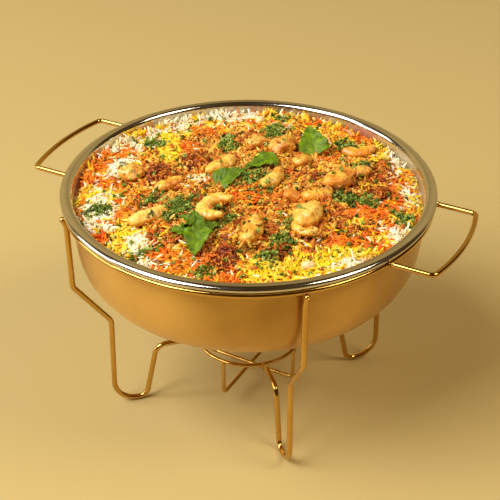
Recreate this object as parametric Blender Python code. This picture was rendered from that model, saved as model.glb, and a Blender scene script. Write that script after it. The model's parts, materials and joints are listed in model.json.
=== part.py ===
"""Prawn biryani heaped in a round chafing bowl that hangs in a bent-wire stand.

The bowl is one turned steel shell, gold outside, whose rolled bead rests on the stand's
top ring. Four wire legs are welded under that ring; each one steps in below the bowl,
turns up again at its foot and runs inwards to a small burner ring, under which two U-shaped
braces cross. The rice is one heap with an uneven top, and every golden prawn, chunk,
onion clump, nut and mint leaf is a solid of its own, seated in the rice or lying on it.

Sizes are in metres, +Z is up, and the origin is on the floor at the middle of the stand.
"""

import math
import random

import bmesh
import bpy
from mathutils import Matrix, Vector, noise
from mathutils.bvhtree import BVHTree

MM = 0.001
GAP = 0.3 * MM  # left between pieces that touch
ROUND_STEPS = 36  # facets round the bowl, its contents and the top ring

# Bowl: a turned shell with a flat flange and a rolled bead
RIM_RADIUS = 180.0 * MM
RIM_TOP = 244.5 * MM
BEAD_RADIUS = 3.5 * MM
WALL = 1.4 * MM
FLANGE_BEND = 1.0 * MM  # inside radius of the bend from wall to flange
BOWL_RADIUS = 168.2 * MM  # outside of the wall
BOWL_SHOULDER = 236.5 * MM  # height where the straight wall starts to curve in
BOWL_DEPTH = 104.9 * MM  # from the shoulder down to the outside of the bottom
BOWL_SQUARE_R = 3.61  # how square the curved part is, across and down
BOWL_SQUARE_Z = 4.33
BOWL_STEPS = 6

# Stand: every wire is round stock, drawn here with eight flats
WIRE = 2.75 * MM
HANDLE_WIRE = 2.5 * MM
BURNER_WIRE = 2.0 * MM
WIRE_SIDES = 8
BEND_STEP = math.radians(38)  # one facet of a bend turns about this much
TOP_RING_RADIUS = 176.2 * MM
TOP_RING_Z = RIM_TOP - 2 * BEAD_RADIUS - GAP - WIRE
BURNER_RING_RADIUS = 52.5 * MM
BURNER_RING_Z = 60.0 * MM
BURNER_STEPS = 18
LEG_ANGLES = tuple(math.radians(15.9 + 90 * turn) for turn in range(4))
HANDLE_ANGLES = (math.radians(152.7), math.radians(-27.3))
BRACE_ANGLES = (math.radians(60.9), math.radians(150.9))
BRACE_DROP_Z = 18.0 * MM  # centre of the lower brace's bottom bar
HANDLE_HALF_WIDTH = 57.5 * MM
HANDLE_REACH = 216.5 * MM  # radius of the grip, measured from the bowl's axis
HANDLE_BEND = 6.0 * MM

# Rice: filled to just under the rim and heaped a little in the middle
RICE_RADIUS = BOWL_RADIUS - WALL - GAP
RICE_EDGE_Z = 231.5 * MM
RICE_CROWN = 10.5 * MM  # how much higher the middle is than the edge
RICE_RINGS = 7
RICE_WAVES = ((55 * MM, 6.5 * MM), (30 * MM, 3.5 * MM))  # wavelength and height of the unevenness

GOLD = (0.80, 0.52, 0.17, 1.0)
STEEL = (0.62, 0.60, 0.55, 1.0)
RICE = (0.90, 0.66, 0.30, 1.0)
PRAWN = (0.90, 0.52, 0.14, 1.0)
POTATO = (0.88, 0.50, 0.12, 1.0)
ONION = (0.25, 0.07, 0.03, 1.0)
MINT = (0.10, 0.28, 0.04, 1.0)
NUT = (0.86, 0.68, 0.40, 1.0)

# Golden prawns: (x, y, heading in degrees), length, thickness, bend in degrees, tilt in degrees
PRAWNS = (
    ((-90, -58, 36), 42, 15, 24, 4),
    ((-35, -47, 118), 62, 14, 235, 14),
    ((-26, 33, 50), 40, 15, 60, 8),
    ((-76, -4, 36), 30, 11, 45, 4),
    ((1, -88, 76), 47, 20, 38, 12),
    ((24, 6, 66), 40, 14, 70, 8),
    ((55, -58, 62), 36, 22, 24, 10),
    ((66, -25, 20), 36, 11, 130, 8),
    ((58, -92, -30), 44, 11, 125, 6),
    ((111, 71, 5), 44, 11, 140, 8),
)
# Golden fried chunks: (x, y, heading), length, width, height
CHUNKS = (
    ((-114, 26, 40), 26, 20, 17),
    ((35, 66, 60), 34, 21, 17),
    ((8, 75, 40), 21, 17, 14),
    ((88, 1, 42), 36, 23, 16),
    ((41, -24, 30), 18, 14, 12),
    ((52, 40, 20), 22, 15, 11),
    ((110, 22, 10), 19, 15, 11),
)
# Clumps of crisp fried onion: (x, y, heading), length, width, height
ONIONS = (
    ((-84, 18, -30), 36, 27, 11),
    ((-52, 48, 60), 34, 22, 9),
    ((-20, -124, 60), 38, 26, 10),
    ((26, -112, 50), 26, 18, 9),
    ((66, 12, 20), 24, 16, 8),
    ((124, -12, 30), 32, 21, 9),
)
# Pale nuts: (x, y, heading), length, width, height
NUTS = (
    ((52, -128, 10), 13, 9, 8),
    ((12, 142, 60), 12, 9, 8),
)
# Mint leaves: (x, y, heading of the tip), length, width, pitch, roll, fold in degrees
LEAVES = (
    ((70, 72, 100), 38, 31, 16, -6, 22),
    ((9, 34, 208), 36, 22, 2, 8, 18),
    ((-19, 8, 30), 33, 24, 6, 10, 16),
    ((-46, -66, 96), 22, 19, 10, 4, 20),
    ((-62, -86, 170), 18, 15, 4, -4, 18),
    ((-43, -102, 262), 34, 26, -8, 6, 24),
    ((-27, -79, 24), 17, 14, 6, 8, 20),
)


def clear_scene():
    """Empties the scene, so that the script gives the same result wherever it is run."""
    for item in list(bpy.context.scene.objects):
        bpy.data.objects.remove(item, do_unlink=True)


def make_material(name, colour, roughness, metallic=0.0):
    """A plain Principled material in the part's own colour."""
    material = bpy.data.materials.new(name)
    material.use_nodes = True
    shader = material.node_tree.nodes["Principled BSDF"]
    shader.inputs["Base Color"].default_value = colour
    shader.inputs["Roughness"].default_value = roughness
    shader.inputs["Metallic"].default_value = metallic
    return material


def add_object(name, shape, material, sharp_angle=50):
    """Turns a bmesh into a smooth-shaded object of the scene."""
    mesh = bpy.data.meshes.new(name)
    shape.to_mesh(mesh)
    shape.free()
    mesh.materials.append(material)
    mesh.shade_smooth()
    mesh.set_sharp_from_angle(angle=math.radians(sharp_angle))
    item = bpy.data.objects.new(name, mesh)
    bpy.context.scene.collection.objects.link(item)
    return item


# ---------------------------------------------------------------- turned pieces


def arc(centre, radius, start, end, steps):
    """Points (r, z) along a circular arc, with its angles in degrees."""
    angles = (math.radians(start + (end - start) * i / steps) for i in range(steps + 1))
    return [(centre[0] + radius * math.cos(a), centre[1] + radius * math.sin(a)) for a in angles]


def bowl_curve(inset):
    """Points (r, z) of the curved wall from its shoulder down to the axis, inset from the outside."""
    points = []
    for i in range(BOWL_STEPS + 1):
        turn = 0.5 * math.pi * i / BOWL_STEPS
        radius = (BOWL_RADIUS - inset) * max(math.cos(turn), 0.0) ** (2 / BOWL_SQUARE_R)
        drop = (BOWL_DEPTH - inset) * math.sin(turn) ** (2 / BOWL_SQUARE_Z)
        points.append((radius, BOWL_SHOULDER - drop))
    points[-1] = (0.0, points[-1][1])
    return points


def turn_profile(profile, steps, closed=False):
    """Spins a profile of (r, z) points round the Z axis into a closed shell."""
    shape = bmesh.new()
    verts = [shape.verts.new((r, 0.0, z)) for r, z in profile]
    pairs = list(zip(verts, verts[1:]))
    if closed:
        pairs.append((verts[-1], verts[0]))
    edges = [shape.edges.new(pair) for pair in pairs]
    bmesh.ops.spin(
        shape, geom=verts + edges, axis=(0, 0, 1), cent=(0, 0, 0), steps=steps, angle=2 * math.pi
    )
    bmesh.ops.remove_doubles(shape, verts=shape.verts, dist=1e-6)
    bmesh.ops.recalc_face_normals(shape, faces=shape.faces)
    return shape


def build_bowl(material):
    """The bowl: curved outside, wall, flange, rolled bead, and the inside parallel to the outside."""
    bead = (RIM_RADIUS - BEAD_RADIUS, RIM_TOP - BEAD_RADIUS)
    bend = (BOWL_RADIUS + FLANGE_BEND, RIM_TOP - WALL - FLANGE_BEND)
    # the flange's underside runs into the bead at this angle
    meet = 180 - math.degrees(math.asin((BEAD_RADIUS - WALL) / BEAD_RADIUS))
    profile = list(reversed(bowl_curve(0.0)))
    profile += arc(bend, FLANGE_BEND, 180, 90, 2)
    profile += arc(bead, BEAD_RADIUS, meet, 450, 6)
    profile += arc(bend, FLANGE_BEND + WALL, 90, 180, 2)
    profile += bowl_curve(WALL)
    return add_object("bowl", turn_profile(profile, ROUND_STEPS), material, 40)


def wire_section(radius):
    """Corner offsets of a wire's cross-section, whose flats lie at the wire's true radius."""
    corner = radius / math.cos(math.pi / WIRE_SIDES)
    angles = (math.pi * (2 * i + 1) / WIRE_SIDES for i in range(WIRE_SIDES))
    return [(corner * math.cos(a), corner * math.sin(a)) for a in angles]


def build_ring(name, ring_radius, height, wire_radius, steps, material):
    """A closed wire ring lying level."""
    profile = [(ring_radius + r, height + z) for r, z in wire_section(wire_radius)]
    return add_object(name, turn_profile(profile, steps, closed=True), material)


# ---------------------------------------------------------------- bent wire


def bend_path(corners):
    """Rounds a flat path, given as ((u, v), bend radius) corners, into a list of (u, v) points."""
    points = [Vector(corner) for corner, _ in corners]
    path = [points[0]]
    for i in range(1, len(points) - 1):
        back = (points[i - 1] - points[i]).normalized()
        ahead = (points[i + 1] - points[i]).normalized()
        radius = corners[i][1]
        turn = math.pi - back.angle(ahead)
        if radius == 0 or turn < 1e-4:
            path.append(points[i])
            continue
        middle = points[i] + (back + ahead).normalized() * radius / math.cos(turn / 2)
        start = points[i] + back * radius * math.tan(turn / 2) - middle
        side = 1.0 if back.x * ahead.y - back.y * ahead.x < 0 else -1.0
        steps = max(1, round(turn / BEND_STEP))
        for step in range(steps + 1):
            angle = side * turn * step / steps
            spun = Vector(
                (
                    start.x * math.cos(angle) - start.y * math.sin(angle),
                    start.x * math.sin(angle) + start.y * math.cos(angle),
                )
            )
            path.append(middle + spun)
    path.append(points[-1])
    return path


def build_wire(name, corners, radius, plane, material):
    """A wire bent in one plane: `plane` maps the flat path's u, v and the side axis to the part."""
    path = bend_path(corners)
    section = wire_section(radius)
    shape = bmesh.new()
    rings = []
    for i, point in enumerate(path):
        before = (point - path[i - 1]).normalized() if i else None
        after = (path[i + 1] - point).normalized() if i + 1 < len(path) else None
        along = ((before or after) + (after or before)).normalized()
        mitre = 1.0
        if before and after:
            mitre = 1 / math.cos(before.angle(after) / 2)
        across = Vector((-along.y, along.x)) * mitre
        ring = []
        for offset, side in section:
            spot = point + across * offset
            ring.append(shape.verts.new(plane @ Vector((spot.x, spot.y, side))))
        rings.append(ring)
    for ring, following in zip(rings, rings[1:]):
        for i in range(WIRE_SIDES):
            j = (i + 1) % WIRE_SIDES
            shape.faces.new((ring[i], ring[j], following[j], following[i]))
    shape.faces.new(rings[0])
    shape.faces.new(rings[-1])
    bmesh.ops.recalc_face_normals(shape, faces=shape.faces)
    return add_object(name, shape, material)


def upright_plane(angle):
    """Maps (outward, up, sideways) to the part for a wire that stands in a radial plane."""
    outward = Vector((math.cos(angle), math.sin(angle), 0))
    sideways = Vector((math.sin(angle), -math.cos(angle), 0))
    return Matrix((outward, Vector((0, 0, 1)), sideways)).transposed().to_4x4()


def level_plane(angle, height):
    """Maps (outward, sideways, up) to the part for a wire that lies level."""
    outward = Vector((math.cos(angle), math.sin(angle), 0))
    sideways = Vector((-math.sin(angle), math.cos(angle), 0))
    turn = Matrix((outward, sideways, Vector((0, 0, 1)))).transposed().to_4x4()
    return Matrix.Translation((0, 0, height)) @ turn


def leg_corners():
    """A leg in its radial plane, from the weld under the top ring to the burner ring."""
    # the wire's end leans outwards, so its inner corner is what meets the ring
    weld_z = TOP_RING_Z - WIRE - GAP - 0.29 * WIRE
    burner_r = BURNER_RING_RADIUS + BURNER_WIRE + GAP
    corners_mm = (
        ((176.8, 222.0), 4),
        ((176.8, 153.8), 9),
        ((142.2, 106.5), 9),
        ((144.8, 2.75), 24),
        ((111.4, 2.75), 10),
        ((98.0, 66.0), 13),
        ((66.0, 66.0), 8),
    )
    corners = [((r * MM, z * MM), bend * MM) for (r, z), bend in corners_mm]
    corners.insert(0, ((179.6 * MM, weld_z), 0))
    corners.append(((60.0 * MM, BURNER_RING_Z), 4 * MM))
    corners.append(((burner_r, BURNER_RING_Z), 0))
    return corners


def handle_corners():
    """A handle in its level plane: two parallel prongs and a grip concentric with the bowl."""
    weld = math.sqrt((TOP_RING_RADIUS + WIRE + GAP) ** 2 - (HANDLE_HALF_WIDTH - HANDLE_WIRE) ** 2)
    spread = math.asin(HANDLE_HALF_WIDTH / HANDLE_REACH)
    grip_steps = 8
    corners = [((weld, -HANDLE_HALF_WIDTH), 0)]
    for i in range(grip_steps + 1):
        angle = spread * (2 * i / grip_steps - 1)
        bend = HANDLE_BEND if i in (0, grip_steps) else 0
        corners.append(((HANDLE_REACH * math.cos(angle), HANDLE_REACH * math.sin(angle)), bend))
    corners.append(((weld, HANDLE_HALF_WIDTH), 0))
    return corners


def brace_corners(bar_z):
    """A U-shaped brace that hangs from both sides of the burner ring."""
    top = BURNER_RING_Z - BURNER_WIRE - GAP
    radius = BURNER_RING_RADIUS
    bend = 6 * MM
    return [
        ((-radius, top), 0),
        ((-radius, bar_z), bend),
        ((radius, bar_z), bend),
        ((radius, top), 0),
    ]


def build_stand(material):
    """The gold wire stand."""
    build_ring("top_ring", TOP_RING_RADIUS, TOP_RING_Z, WIRE, ROUND_STEPS, material)
    build_ring("burner_ring", BURNER_RING_RADIUS, BURNER_RING_Z, BURNER_WIRE, BURNER_STEPS, material)
    for number, angle in enumerate(LEG_ANGLES, 1):
        build_wire(f"leg_{number}", leg_corners(), WIRE, upright_plane(angle), material)
    for number, angle in enumerate(HANDLE_ANGLES, 1):
        plane = level_plane(angle, TOP_RING_Z)
        build_wire(f"handle_{number}", handle_corners(), HANDLE_WIRE, plane, material)
    for number, angle in enumerate(BRACE_ANGLES):
        bar_z = BRACE_DROP_Z + number * (2 * BURNER_WIRE + GAP)
        corners = brace_corners(bar_z)
        name = f"burner_brace_{number + 1}"
        build_wire(name, corners, BURNER_WIRE, upright_plane(angle), material)


# ---------------------------------------------------------------- rice


def rice_height(x, y):
    """Height of the heap's top: level at the wall, heaped in the middle, uneven all over."""
    reach = min(math.hypot(x, y) / RICE_RADIUS, 1.0)
    height = RICE_EDGE_Z + RICE_CROWN * (1 - reach**2.2)
    for number, (wavelength, lift) in enumerate(RICE_WAVES):
        height += lift * noise.noise(Vector((x / wavelength, y / wavelength, 3.7 + number)))
    return height


def build_heap():
    """The whole heap of rice, filling the bowl with a gap to its wall."""
    shape = bmesh.new()
    rings = []
    wall = bowl_curve(WALL + GAP)
    spokes = [2 * math.pi * i / ROUND_STEPS for i in range(ROUND_STEPS)]
    radii = [RICE_RADIUS * (step / RICE_RINGS) ** 0.9 for step in range(1, RICE_RINGS + 1)]
    for radius in radii[:-1]:
        spots = [(radius * math.cos(a), radius * math.sin(a)) for a in spokes]
        rings.append([shape.verts.new((x, y, rice_height(x, y))) for x, y in spots])
    # the outermost grains lie against the wall, which leans in a little on its way down
    (shoulder_r, shoulder_z), (below_r, below_z) = wall[0:2]
    lean = (shoulder_r - below_r) / (shoulder_z - below_z)
    edge = []
    for angle in spokes:
        height = rice_height(RICE_RADIUS * math.cos(angle), RICE_RADIUS * math.sin(angle))
        radius = shoulder_r - lean * (shoulder_z - height)
        spot = (radius * math.cos(angle), radius * math.sin(angle), height)
        edge.append(shape.verts.new(spot))
    rings.append(edge)
    for radius, height in wall[1:-1]:
        spots = [(radius * math.cos(a), radius * math.sin(a)) for a in spokes]
        rings.append([shape.verts.new((x, y, height)) for x, y in spots])
    for ring, following in zip(rings, rings[1:]):
        for i in range(ROUND_STEPS):
            j = (i + 1) % ROUND_STEPS
            shape.faces.new((ring[i], ring[j], following[j], following[i]))
    top = shape.verts.new((0, 0, rice_height(0, 0)))
    bottom = shape.verts.new((0, 0, wall[-1][1]))
    for i in range(ROUND_STEPS):
        j = (i + 1) % ROUND_STEPS
        shape.faces.new((top, rings[0][j], rings[0][i]))
        shape.faces.new((bottom, rings[-1][i], rings[-1][j]))
    bmesh.ops.triangulate(shape, faces=shape.faces)
    bmesh.ops.recalc_face_normals(shape, faces=shape.faces)
    return shape


def cut_seats(heap, cutters):
    """Presses the shape of every seated topping out of the heap of rice."""
    for cutter in cutters:
        cutter.hide_render = True
        cutter.display_type = "WIRE"
        seat = heap.modifiers.new(cutter.name, "BOOLEAN")
        seat.operation = "DIFFERENCE"
        seat.solver = "EXACT"
        seat.object = cutter
    bpy.context.view_layer.update()
    graph = bpy.context.evaluated_depsgraph_get()
    cut = bpy.data.meshes.new_from_object(heap.evaluated_get(graph))
    heap.modifiers.clear()
    heap.data = cut
    for cutter in cutters:
        bpy.data.objects.remove(cutter, do_unlink=True)


# ---------------------------------------------------------------- toppings seated in the rice


def placed(spot, height, pitch=0.0, roll=0.0):
    """Matrix that puts a topping at (x mm, y mm, heading) and the given height."""
    x, y, heading = spot
    turn = Matrix.Rotation(math.radians(heading), 4, "Z")
    tip = Matrix.Rotation(math.radians(-pitch), 4, "Y")
    lean = Matrix.Rotation(math.radians(roll), 4, "X")
    return Matrix.Translation((x * MM, y * MM, height)) @ turn @ tip @ lean


def prawn_shape(length, thickness, bend, grow):
    """A peeled prawn: a ridged tube, thick at the head end, curled and drawn in to its tail."""
    stations = 7
    sides = 8
    bend = math.radians(bend)
    radius = length / bend
    shape = bmesh.new()
    rings = []
    for station in range(stations):
        along = station / (stations - 1)
        angle = bend * (along - 0.5)
        centre = Vector((radius * math.sin(angle), radius * (1 - math.cos(angle)), 0))
        inward = Vector((-math.sin(angle), math.cos(angle), 0))
        forward = Vector((math.cos(angle), math.sin(angle), 0))
        # blunt head, full body, narrow tail; every other ring is drawn in between two ridges
        girth = math.sin(math.pi * (0.20 + 0.68 * along**0.8)) ** 0.6
        ridge = 0.94 if station % 2 else 1.0
        half = 0.5 * thickness * girth * ridge + grow
        if station in (0, stations - 1):
            half = 0.5 * half
            centre += forward * (grow if station else -grow)
        ring = []
        for i in range(sides):
            a = 2 * math.pi * (i + 0.5) / sides
            spot = centre + inward * half * math.cos(a) + Vector((0, 0, 0.86 * half * math.sin(a)))
            ring.append(shape.verts.new(spot))
        rings.append(ring)
    for ring, following in zip(rings, rings[1:]):
        for i in range(sides):
            j = (i + 1) % sides
            shape.faces.new((ring[i], ring[j], following[j], following[i]))
    shape.faces.new(rings[0])
    shape.faces.new(rings[-1])
    middle = Vector((0, radius * (1 - math.sin(bend / 2) / (bend / 2)), 0))
    bmesh.ops.translate(shape, verts=shape.verts, vec=-middle)
    bmesh.ops.triangulate(shape, faces=shape.faces)
    bmesh.ops.recalc_face_normals(shape, faces=shape.faces)
    return shape


def lump_shape(size, roughness, seed, grow):
    """An irregular lump of about the given length, width and height."""
    shape = bmesh.new()
    bmesh.ops.create_icosphere(shape, subdivisions=2, radius=1.0)
    chance = random.Random(seed)
    shift = Vector((chance.uniform(0, 9), chance.uniform(0, 9), chance.uniform(0, 9)))
    for vert in shape.verts:
        swell = 1 + roughness * noise.noise(vert.co * 1.4 + shift)
        vert.co = Vector(tuple(c * (0.5 * s * swell + grow) for c, s in zip(vert.co, size)))
    return shape


def build_seated(name, make_shape, place, material):
    """Makes one topping and the slightly larger cutter that presses its seat."""
    shape = make_shape(0.0)
    shape.transform(place)
    cutter_shape = make_shape(1.25 * GAP)
    cutter_shape.transform(place)
    topping = add_object(name, shape, material, 60)
    cutter = add_object(f"{name}_seat", cutter_shape, material)
    return topping, cutter


def seat_height(spot, height, sink):
    """Height of a lump's middle when the given share of it is sunk in the rice."""
    x, y, _ = spot
    return rice_height(x * MM, y * MM) + height * (0.5 - sink)


def build_toppings(materials):
    """Every topping that is seated in the rice, as (topping, cutter) pairs."""
    pairs = []
    for number, (spot, length, thickness, bend, tilt) in enumerate(PRAWNS, 1):
        place = placed(spot, seat_height(spot, thickness * MM, 0.28), 0, tilt)

        def shape(grow, size=(length * MM, thickness * MM, bend)):
            return prawn_shape(*size, grow)

        pairs.append(build_seated(f"prawn_{number}", shape, place, materials["prawn"]))
    lumps = (
        ("chunk", CHUNKS, 0.42, 0.30, "chunk"),
        ("onion_clump", ONIONS, 0.50, 0.38, "onion"),
        ("nut", NUTS, 0.12, 0.30, "nut"),
    )
    for kind, spots, roughness, sink, key in lumps:
        for number, (spot, *size) in enumerate(spots, 1):
            place = placed(spot, seat_height(spot, size[2] * MM, sink))

            def shape(grow, size=tuple(s * MM for s in size), rough=roughness, seed=number):
                return lump_shape(size, rough, seed, grow)

            pairs.append(build_seated(f"{kind}_{number}", shape, place, materials[key]))
    return pairs


# ---------------------------------------------------------------- mint leaves


def leaf_shape(length, width, fold):
    """A mint leaf: an oval blade, folded along its midrib and arched from stem to tip."""
    stations = 6
    thickness = 0.9 * MM
    arch = 0.10 * length
    shape = bmesh.new()
    layers = []
    for lift in (0.0, thickness):
        rows = []
        for station in range(1, stations):
            along = station / stations
            half = 0.5 * width * math.sin(math.pi * along**0.85) ** 0.8
            z = lift - arch * (2 * along - 1) ** 2
            rise = half * math.tan(math.radians(fold))
            x = length * (along - 0.5)
            spots = ((x, -half, z + rise), (x, 0.0, z), (x, half, z + rise))
            rows.append([shape.verts.new(spot) for spot in spots])
        stem = shape.verts.new((-0.5 * length, 0, lift - arch))
        tip = shape.verts.new((0.5 * length, 0, lift - arch))
        layers.append((stem, rows, tip))
    for stem, rows, tip in layers:
        for side in (0, 1):
            shape.faces.new((stem, rows[0][side], rows[0][side + 1]))
            shape.faces.new((tip, rows[-1][side], rows[-1][side + 1]))
            for row, following in zip(rows, rows[1:]):
                corners = (row[side], row[side + 1], following[side + 1], following[side])
                shape.faces.new(corners)
    outlines = []
    for stem, rows, tip in layers:
        outlines.append([stem] + [r[0] for r in rows] + [tip] + [r[2] for r in reversed(rows)])
    under, over = outlines
    for i, vert in enumerate(under):
        j = (i + 1) % len(under)
        shape.faces.new((vert, under[j], over[j], over[i]))
    bmesh.ops.triangulate(shape, faces=shape.faces)
    bmesh.ops.recalc_face_normals(shape, faces=shape.faces)
    return shape


def face_samples(shape, steps=5):
    """Points spread over every face of a triangulated shape."""
    for face in shape.faces:
        a, b, c = (vert.co for vert in face.verts)
        for i in range(steps + 1):
            for j in range(steps + 1 - i):
                u, v = i / steps, j / steps
                yield a + (b - a) * u + (c - a) * v


def settle(shape, ground):
    """Lowers a shape onto the pieces under it, down to the gap at its first touch."""
    high = 1.0
    drop = min(
        spot.z - ground.ray_cast(Vector((spot.x, spot.y, high)), Vector((0, 0, -1)))[0].z
        for spot in face_samples(shape)
    )
    bmesh.ops.translate(shape, verts=shape.verts, vec=Vector((0, 0, 1.5 * GAP - drop)))


def build_leaves(ground_items, material):
    """The mint leaves, each laid on the rice and on the toppings under it."""
    ground_items = list(ground_items)
    for number, (spot, length, width, pitch, roll, fold) in enumerate(LEAVES, 1):
        shape = leaf_shape(length * MM, width * MM, fold)
        shape.transform(placed(spot, RIM_TOP, pitch, roll))
        merged = bmesh.new()
        for item in ground_items:
            merged.from_mesh(item.data)
        settle(shape, BVHTree.FromBMesh(merged))
        merged.free()
        ground_items.append(add_object(f"mint_leaf_{number}", shape, material, 40))


def main():
    """Builds the bowl, its stand, the rice and everything on it."""
    clear_scene()
    materials = {
        "gold": make_material("gold", GOLD, 0.22, 1.0),
        "steel": make_material("steel", STEEL, 0.25, 1.0),
        "rice": make_material("rice", RICE, 0.55),
        "prawn": make_material("prawn", PRAWN, 0.40),
        "chunk": make_material("chunk", POTATO, 0.45),
        "onion": make_material("onion", ONION, 0.50),
        "nut": make_material("nut", NUT, 0.45),
        "mint": make_material("mint", MINT, 0.50),
    }
    build_bowl(materials["steel"])
    build_stand(materials["gold"])
    heap = add_object("rice", build_heap(), materials["rice"])
    pairs = build_toppings(materials)
    cut_seats(heap, [cutter for _, cutter in pairs])
    build_leaves([heap] + [topping for topping, _ in pairs], materials["mint"])


main()
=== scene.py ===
"""Prawn biryani heaped in its chafing bowl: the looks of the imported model.

The bowl becomes a polished steel liner inside a gold skin, and every wire of the stand is swept
round and true. The plain heap of rice becomes a smaller core under five kinds of loose grain,
with crisp onion strands, chopped herb and crumbs lying where they fall thickest. Each golden
prawn, chunk, nut and mint leaf is worked up from the solid that the frame gives for it.

Sizes are in metres, +Z is up, and the origin is on the floor at the middle of the stand.
"""

import heapq
import json
import logging
import math
import random
from dataclasses import dataclass, field
from enum import Enum
from functools import cache
from typing import Iterable, Optional, Sequence

import bmesh
import bpy
import numpy as np
from mathutils import Matrix, Vector, noise
from mathutils.bvhtree import BVHTree

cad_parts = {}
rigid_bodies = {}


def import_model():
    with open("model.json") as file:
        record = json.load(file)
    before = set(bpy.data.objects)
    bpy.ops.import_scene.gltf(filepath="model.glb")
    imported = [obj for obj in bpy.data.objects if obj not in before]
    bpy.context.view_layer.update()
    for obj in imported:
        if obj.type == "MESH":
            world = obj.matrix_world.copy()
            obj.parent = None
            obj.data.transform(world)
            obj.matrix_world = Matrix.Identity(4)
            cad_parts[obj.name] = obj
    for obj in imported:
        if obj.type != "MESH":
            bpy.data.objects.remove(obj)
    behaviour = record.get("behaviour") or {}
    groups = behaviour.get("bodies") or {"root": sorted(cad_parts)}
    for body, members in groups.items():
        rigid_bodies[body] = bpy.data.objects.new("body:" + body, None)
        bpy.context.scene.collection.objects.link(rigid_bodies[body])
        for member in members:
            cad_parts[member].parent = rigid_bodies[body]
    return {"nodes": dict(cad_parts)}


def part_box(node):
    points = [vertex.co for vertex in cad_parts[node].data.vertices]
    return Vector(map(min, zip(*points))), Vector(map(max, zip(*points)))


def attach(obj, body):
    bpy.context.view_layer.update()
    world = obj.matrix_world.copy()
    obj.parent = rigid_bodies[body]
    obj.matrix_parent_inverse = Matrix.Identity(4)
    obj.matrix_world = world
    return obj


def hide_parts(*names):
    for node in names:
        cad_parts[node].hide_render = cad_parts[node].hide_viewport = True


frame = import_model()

LOG = logging.getLogger("biryani")

MM = 0.001
ROOT = "root"
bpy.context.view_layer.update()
NODES: dict[str, bpy.types.Object] = frame["nodes"]

Colour = tuple[float, float, float]
Grid = np.ndarray
Material = bpy.types.Material
Mesh = bpy.types.Mesh
Node = bpy.types.Node
Shape = bmesh.types.BMesh
Socket = bpy.types.NodeSocket
Tree = bpy.types.NodeTree


# -------- meshes and pieces


def new_object(name: str, mesh: Mesh) -> bpy.types.Object:
    """Links a mesh to the scene as an object at the origin.

    Args:
        name: the object's name.
        mesh: its mesh, already in place.

    Returns:
        The new object.
    """
    mesh.name = name
    item = bpy.data.objects.new(name, mesh)
    bpy.context.scene.collection.objects.link(item)
    return item


def shape_to_mesh(shape: Shape) -> Mesh:
    """A new smooth mesh of a shape.

    Args:
        shape: the shape, which is used up.

    Returns:
        The mesh.
    """
    mesh = bpy.data.meshes.new("shape")
    shape.to_mesh(mesh)
    shape.free()
    mesh.shade_smooth()
    return mesh


def plain_mesh(source: bpy.types.Object) -> Mesh:
    """Gets the mesh that an object's modifiers make.

    Args:
        source: the object, which is deleted.

    Returns:
        The mesh.
    """
    bpy.context.view_layer.update()
    graph = bpy.context.evaluated_depsgraph_get()
    made = bpy.data.meshes.new_from_object(source.evaluated_get(graph))
    bpy.data.objects.remove(source, do_unlink=True)
    return made


def nodes_named(prefix: str) -> list[str]:
    """Names of the frame's nodes that start with a prefix, in order of their number."""
    found = [name for name in NODES if name.startswith(prefix)]
    return sorted(found, key=lambda name: (len(name), name))


def node_middle(name: str) -> Vector:
    """The middle of a node's box."""
    low, high = (Vector(corner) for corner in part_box(name))
    return 0.5 * (low + high)


def merged_copy(names: Iterable[str]) -> Shape:
    """A welded copy of some of the frame's solids.

    Args:
        names: the solids' names.

    Returns:
        The copy, as one shape.
    """
    shape = bmesh.new()
    for name in names:
        shape.from_mesh(NODES[name].data)
    bmesh.ops.remove_doubles(shape, verts=shape.verts, dist=0.01 * MM)
    return shape


def search_tree(names: Iterable[str]) -> BVHTree:
    """Makes a search tree over some of the frame's solids.

    Args:
        names: the solids' names.

    Returns:
        The tree.
    """
    shape = merged_copy(names)
    tree = BVHTree.FromBMesh(shape)
    shape.free()
    return tree


def height_under(tree: BVHTree, x: float, y: float) -> Optional[float]:
    """Height of the first thing under a spot, or None."""
    hit = tree.ray_cast(Vector((x, y, 1.0)), Vector((0, 0, -1)))[0]
    return hit.z if hit else None


def write_attribute(mesh: Mesh, name: str, values: Sequence[float]) -> None:
    """Stores a named number for each vertex of a mesh, in order."""
    layer = mesh.attributes.new(name, "FLOAT", "POINT")
    layer.data.foreach_set("value", np.asarray(values, np.float32))


def rework(mesh: Mesh, spots: Grid, shade: Sequence[float], material: Material) -> None:
    """Moves a mesh's vertices and dresses it anew.

    Args:
        mesh: the mesh to rework.
        spots: where its vertices go.
        shade: the "shade" of each vertex.
        material: its one material.
    """
    mesh.vertices.foreach_set("co", spots.reshape(-1))
    mesh.update()
    write_attribute(mesh, "shade", shade)
    mesh.materials.clear()
    mesh.materials.append(material)


def add_piece(name: str, mesh: Mesh, slot: str, replaced: Iterable[str] = ()) -> None:
    """Makes a piece of a finished mesh and hands it to the frame.

    Args:
        name: the piece's name.
        mesh: its mesh, in place and dressed.
        slot: a material slot's name, which is only written to the log.
        replaced: the frame's nodes that it stands for.
    """
    item = new_object(name, mesh)
    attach(item, ROOT)
    if replaced:
        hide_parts(*replaced)
    mesh.calc_loop_triangles()
    LOG.info("%s: %d triangles, slot %s", item.name, len(mesh.loop_triangles), slot)


# -------- nodes


def feed(tree: Tree, socket: Socket, value: object) -> None:
    """Links an output to an input, or sets the input's value.

    Args:
        tree: the node tree.
        socket: the input.
        value: an output, or a value; a colour of three numbers gets its alpha.
    """
    if isinstance(value, Socket):
        tree.links.new(value, socket)
    elif socket.type == "RGBA" and len(value) == 3:
        socket.default_value = (*value, 1.0)
    else:
        socket.default_value = value


def fill(tree: Tree, node: Node, **inputs: object) -> None:
    """Feeds a node's inputs by name, with underscores for spaces."""
    for name, value in inputs.items():
        feed(tree, node.inputs[name.replace("_", " ")], value)


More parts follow.
